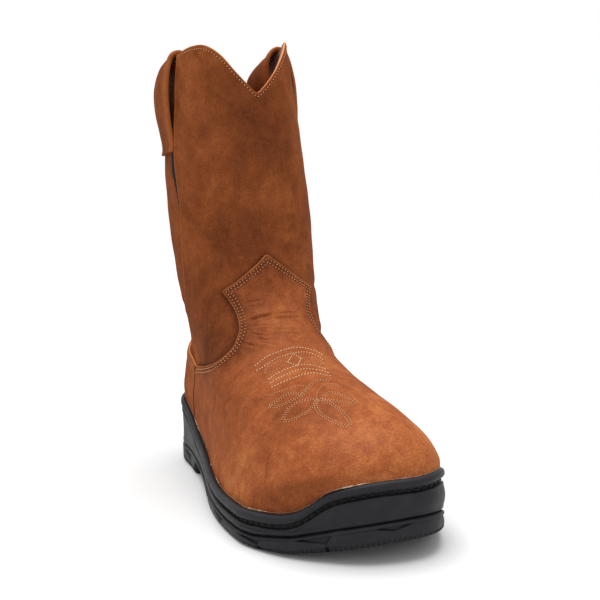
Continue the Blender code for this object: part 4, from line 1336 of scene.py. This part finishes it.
# Cup wall's section from the underside up: 1 for a height taken from the top, height and offset, mm
CUP_SECTION = (
    (0, 0.0, 3.0), (0, 0.0, 4.4), (0, 0.5, 4.6), (0, 1.0, 5.5), (0, 1.3, 6.0), (0, 1.8, 6.3), (0, 2.6, 6.45),
    (0, 3.6, 6.5), (1, -5.4, 6.6), (1, -4.4, 6.6), (1, -3.9, 6.45), (1, -3.65, 6.0), (1, -3.5, 5.0),
    (1, -3.3, 4.0), (1, -1.4, 3.9), (1, -1.0, 4.3), (1, 0.2, 4.6),
)
CUP_OUT, CUP_SWELL = 6.6, 0.9         # wall's offset, and how far it swells or hollows
SOLE_THREAD = 1.2     # thickness of the thread in the groove


class BOOT_OT_cup(bpy.types.Operator):
    """Cup sole's wall: toe bumper, stitched groove under the bead, recessed panel at the heel, floor"""
    bl_idname = "boot.cup"
    bl_label = "Cup sole"

    def execute(self, context):
        looks, sizes = looks_of(context.scene), context.scene.boot_sizes
        k = even_columns(520)
        base_line, away = outline(k)
        base, top = sole_at("top_z", base_line[:, 1]) + SOLE_GAP - 0.5, bead_top(k) - BEAD_HEIGHT
        heel, toe = 1 - ease(*HEEL_PART, from_heel(k)), ease(*TOE_PART, from_heel(k))
        # Section carried round the base line, pushed clear of the leather where it is in the way
        rings = []
        for from_top, height, out in CUP_SECTION:
            z = top + height if from_top else base + height
            ring = wall_ring(k, out, np.clip(z, base, top + 0.3))
            clear = ((on_last(k, ring[:, 2], FACE + 1.0) - ring)*away).sum(-1)
            rings.append(ring + from_top*np.maximum(clear, 0)[:, None]*away)
        # Between the foot and the groove the wall is hollow at the heel and swells over the toe
        middle = [wall_ring(k, CUP_OUT + CUP_SWELL*(toe*np.sin(np.pi*share) - heel*np.sin(np.pi*share)**0.4),
                            (base + 3.8)*(1 - share) + (top - 5.4)*share)
                  for share in np.linspace(0.04, 0.96, 12)]
        at = next(i for i, row in enumerate(CUP_SECTION) if row[0])
        rings[at:at] = middle
        floor = last(seam_turn(k, 0.0), 0.0)[..., 2] - FLOOR_DROP
        groove = (rings[-4] + rings[-3])/2
        rings += [on_last(k, top, CUP_GAP - 0.4), on_last(k, floor, CUP_GAP + 0.4)]
        under = drawn_in(rings[0], (1.0, 0.8, 0.5, 0.25))
        above = drawn_in(rings[-1], (0.25, 0.5, 0.8, 1.0))
        piece = ring_piece("cup_rubber", np.concatenate([under, np.stack(rings), above]),
                           [looks["moulded black rubber"]], sharp=38)
        stand_for(piece, "rubber_black", "cupsole")
        path = np.vstack([groove, groove[:1]]), np.vstack([away, away[:1]])
        points, quads, caps, _ = stitches([path], sizes.sole_pitch/MM, SOLE_THREAD, 0.9)
        piece = make("sole_thread", points, [quads, caps], [looks["waxed black thread"]], sharp=70)
        stand_for(piece, "rubber_black")
        return {"FINISHED"}


SOLE_OUT = 6.9        # outsole's edge off the base line
PANEL_START = 0.12    # share of a panel that lies behind the heel's middle
FACET, TEETH, NOTCH, JOINT = 1.8, 1.2, 1.8, 0.45      # depths cut into the outsole's edge
NOTCH_AT, NOTCH_WIDE = 0.95, 1.3      # notch's place as a share of a panel, and its width
TREAD = 3.5           # depth of the cross grooves


def tread(rows):
    """Underside's height: the sole's own, cut up in bands across that stop short of the edge."""
    y = rows[..., 1]
    reach = np.linspace(0, 1, len(rows))[:, None]
    near = np.min([np.abs(y - groove) for groove in GROOVES], axis=0)
    return sole_at("under_z", y) + TREAD*(1 - ease(1.6, 2.5, near))*ease(0.02, 0.12, reach)


class BOOT_OT_outsole(bpy.types.Operator):
    """Outsole: ribbed lower edge, raised panels with sloping tops, heel block, arch and cross grooves"""
    bl_idname = "boot.outsole"
    bl_label = "Outsole"

    def execute(self, context):
        looks, sizes = looks_of(context.scene), context.scene.boot_sizes
        k = even_columns(1500)
        base_line = outline(k)[0]
        along = arc_length(base_line)
        top, under = (sole_at(name, base_line[:, 1]) for name in ("top_z", "under_z"))
        toe = ease(*TOE_PART, from_heel(k))
        # Along the edge: each panel's top slopes down to its front end, where a notch is cut; fine ribs
        panel = sizes.panel/MM
        t = (np.minimum(along, along[-1] - along)/panel + PANEL_START) % 1.0
        dip = np.where(t < 0.94, np.clip((t - 0.52)/0.42, 0, 1), np.clip((1 - t)/0.06, 0, 1))
        notch = bell((t - NOTCH_AT)*panel, NOTCH_WIDE)
        rib = 0.5 + 0.5*np.cos(2*np.pi*along/(sizes.rib/MM))
        rings = [wall_ring(k, 3.0, top), wall_ring(k, 5.4, top)]
        # Down the edge: rounded rims, a joint line, the panels' facets, teeth and notches
        for v in np.linspace(0, 1, 22):
            rim = 0.9*(1 - ease(0.0, 0.06, v)) + 1.3*ease(0.86, 1.0, v) + 1.4*toe*max(v - 0.3, 0)**2
            joint = ease(0.13, 0.18, v)*(1 - ease(0.18, 0.23, v))
            facet = ease(0.15, 0.20, v)*(1 - ease(-0.04, 0.04, v - 0.18 - 0.42*dip))*ease(0.0, 0.15, dip)
            cut = (JOINT*joint + FACET*facet + TEETH*(1 - rib)*ease(0.74, 0.80, v)
                   + NOTCH*notch*ease(0.66, 0.72, v))
            rings.append(wall_ring(k, SOLE_OUT - rim - cut, top - 0.1 - (top - under - 0.9)*v))
        rings.append(wall_ring(k, 3.9, under + 0.15))
        shares = np.concatenate([[0, 0.05, 0.10], np.linspace(0.16, 1, 9)])
        rows = drawn_in(wall_ring(k, 3.2, under), shares, tread)
        above = drawn_in(rings[0], (1.0, 0.6, 0.3))
        piece = ring_piece("outsole_rubber", np.concatenate([above, np.stack(rings), rows]),
                           [looks["moulded black rubber"]], sharp=38)
        stand_for(piece, "rubber_black", "outsole")
        return {"FINISHED"}


# Footbed's section from the underside up: level, and mm inside the upper's wall
FOOTBED_SECTION = ((0.002, 0.9), (0.016, 0.5), (0.021, 0.9))


class BOOT_OT_footbed(bpy.types.Operator):
    """Cloth-covered footbed inside"""
    bl_idname = "boot.footbed"
    bl_label = "Footbed"

    def execute(self, context):
        looks = looks_of(context.scene)
        # Three rings of the last inside the wall, drawn in to a mid-line underneath and on top
        k = even_columns(240)
        rings = [shell(k, level, -(WALL + inside)) for level, inside in FOOTBED_SECTION]
        under, above = drawn_in(rings[0], (1.0, 0.5)), drawn_in(rings[-1], (0.05, 0.2, 0.5, 0.8, 1.0))
        piece = ring_piece("footbed_cloth", np.concatenate([under, np.stack(rings), above]),
                           [looks["felted footbed cloth"]])
        stand_for(piece, "insole_board", "insole")
        return {"FINISHED"}


# Stage: the camera's place, aim and lens follow the view of the boot from its outer front
CAMERA_PLACE = (-0.20285, -0.50923, 0.1848)
CAMERA_TURN, CAMERA_TILT, CAMERA_ROLL = np.radians((23.4, -4.67, -1.45))
CAMERA_LENS, CAMERA_SENSOR = 45.89, 36.0
FLOOR_CORNERS = ((-4, -4, 0), (4, -4, 0), (4, 8, 0), (-4, 8, 0))
SOFTBOX_FROM, SOFTBOX_POWER, SOFTBOX_ANGLE = (-0.07, 0.03, 1.0), 3.5, np.radians(50)


class BOOT_OT_stage(bpy.types.Operator):
    """Plain pale floor, soft studio light and the camera"""
    bl_idname = "boot.stage"
    bl_label = "Stage"

    def execute(self, context):
        scene = context.scene
        look, _, _ = start("matt white paper", tuple(scene.boot_colours.floor), 0.9)
        mesh = bpy.data.meshes.new("floor")
        mesh.from_pydata(FLOOR_CORNERS, [], [(0, 1, 2, 3)])
        mesh.materials.append(look)
        floor = bpy.data.objects.new("floor", mesh)
        scene.collection.objects.link(floor)
        world = bpy.data.worlds.new("studio")
        world.use_nodes = True
        world.node_tree.nodes["Background"].inputs["Color"].default_value = (1, 1, 1, 1)
        world.node_tree.nodes["Background"].inputs["Strength"].default_value = 1.0
        scene.world = world
        lamp = bpy.data.lights.new("softbox", "SUN")
        lamp.energy, lamp.angle = SOFTBOX_POWER, SOFTBOX_ANGLE
        light = bpy.data.objects.new("softbox", lamp)
        aim = unit(-np.array(SOFTBOX_FROM))
        turn_to(light, SOFTBOX_FROM, unit(np.cross(aim, (0, 1, 0))), aim)
        scene.collection.objects.link(light)
        ahead = np.array([np.sin(CAMERA_TURN), np.cos(CAMERA_TURN), 0.0])
        forward = np.cos(CAMERA_TILT)*ahead + np.sin(CAMERA_TILT)*np.array([0.0, 0.0, 1.0])
        right = np.array([ahead[1], -ahead[0], 0.0])
        right = np.cos(CAMERA_ROLL)*right + np.sin(CAMERA_ROLL)*np.cross(right, forward)
        lens = bpy.data.cameras.new("camera")
        lens.lens, lens.sensor_width, lens.dof.use_dof = CAMERA_LENS, CAMERA_SENSOR, False
        camera = bpy.data.objects.new("camera", lens)
        turn_to(camera, CAMERA_PLACE, right, forward)
        scene.collection.objects.link(camera)
        scene.camera = camera
        scene.view_settings.view_transform = "Standard"
        return {"FINISHED"}


def turn_to(thing, place, right, forward):
    """Puts a lamp or a camera at a place, its own right and view directions given."""
    rows = np.eye(4)
    rows[:3] = np.stack([right, np.cross(right, forward), -forward, place], -1)
    thing.matrix_world = Matrix(rows.tolist())


OPERATORS = (BOOT_OT_shaft, BOOT_OT_vamp, BOOT_OT_counter, BOOT_OT_lining, BOOT_OT_gores, BOOT_OT_straps,
             BOOT_OT_seams, BOOT_OT_toe_stitching, BOOT_OT_bead, BOOT_OT_cup, BOOT_OT_outsole,
             BOOT_OT_footbed, BOOT_OT_stage)


class BOOT_PT_panel(bpy.types.Panel):
    """Settings and build steps of the boot"""
    bl_idname = "BOOT_PT_panel"
    bl_label = "Work boot"
    bl_space_type = "VIEW_3D"
    bl_region_type = "UI"
    bl_category = "Boot"

    def draw(self, context):
        for group in (context.scene.boot_sizes, context.scene.boot_colours):
            box = self.layout.box()
            for key in group.__annotations__:
                box.prop(group, key)
        for operator in OPERATORS:
            self.layout.operator(operator.bl_idname)


CLASSES = (BootSizes, BootColours, *OPERATORS, BOOT_PT_panel)


def register():
    """Registers the classes and hangs both groups of settings on the scene."""
    for kind in CLASSES:
        bpy.utils.register_class(kind)
    bpy.types.Scene.boot_sizes = bpy.props.PointerProperty(type=BootSizes)
    bpy.types.Scene.boot_colours = bpy.props.PointerProperty(type=BootColours)


def unregister():
    """Takes back what register did, in reverse order."""
    del bpy.types.Scene.boot_colours, bpy.types.Scene.boot_sizes
    for kind in reversed(CLASSES):
        bpy.utils.unregister_class(kind)


def main():
    """Builds the boot piece by piece."""
    register()
    bpy.ops.boot.shaft()
    bpy.ops.boot.vamp()
    bpy.ops.boot.counter()
    bpy.ops.boot.lining()
    bpy.ops.boot.gores()
    bpy.ops.boot.straps()
    bpy.ops.boot.seams()
    bpy.ops.boot.toe_stitching()
    bpy.ops.boot.bead()
    bpy.ops.boot.cup()
    bpy.ops.boot.outsole()
    bpy.ops.boot.footbed()
    bpy.ops.boot.stage()


if __name__ == "__main__":
    main()
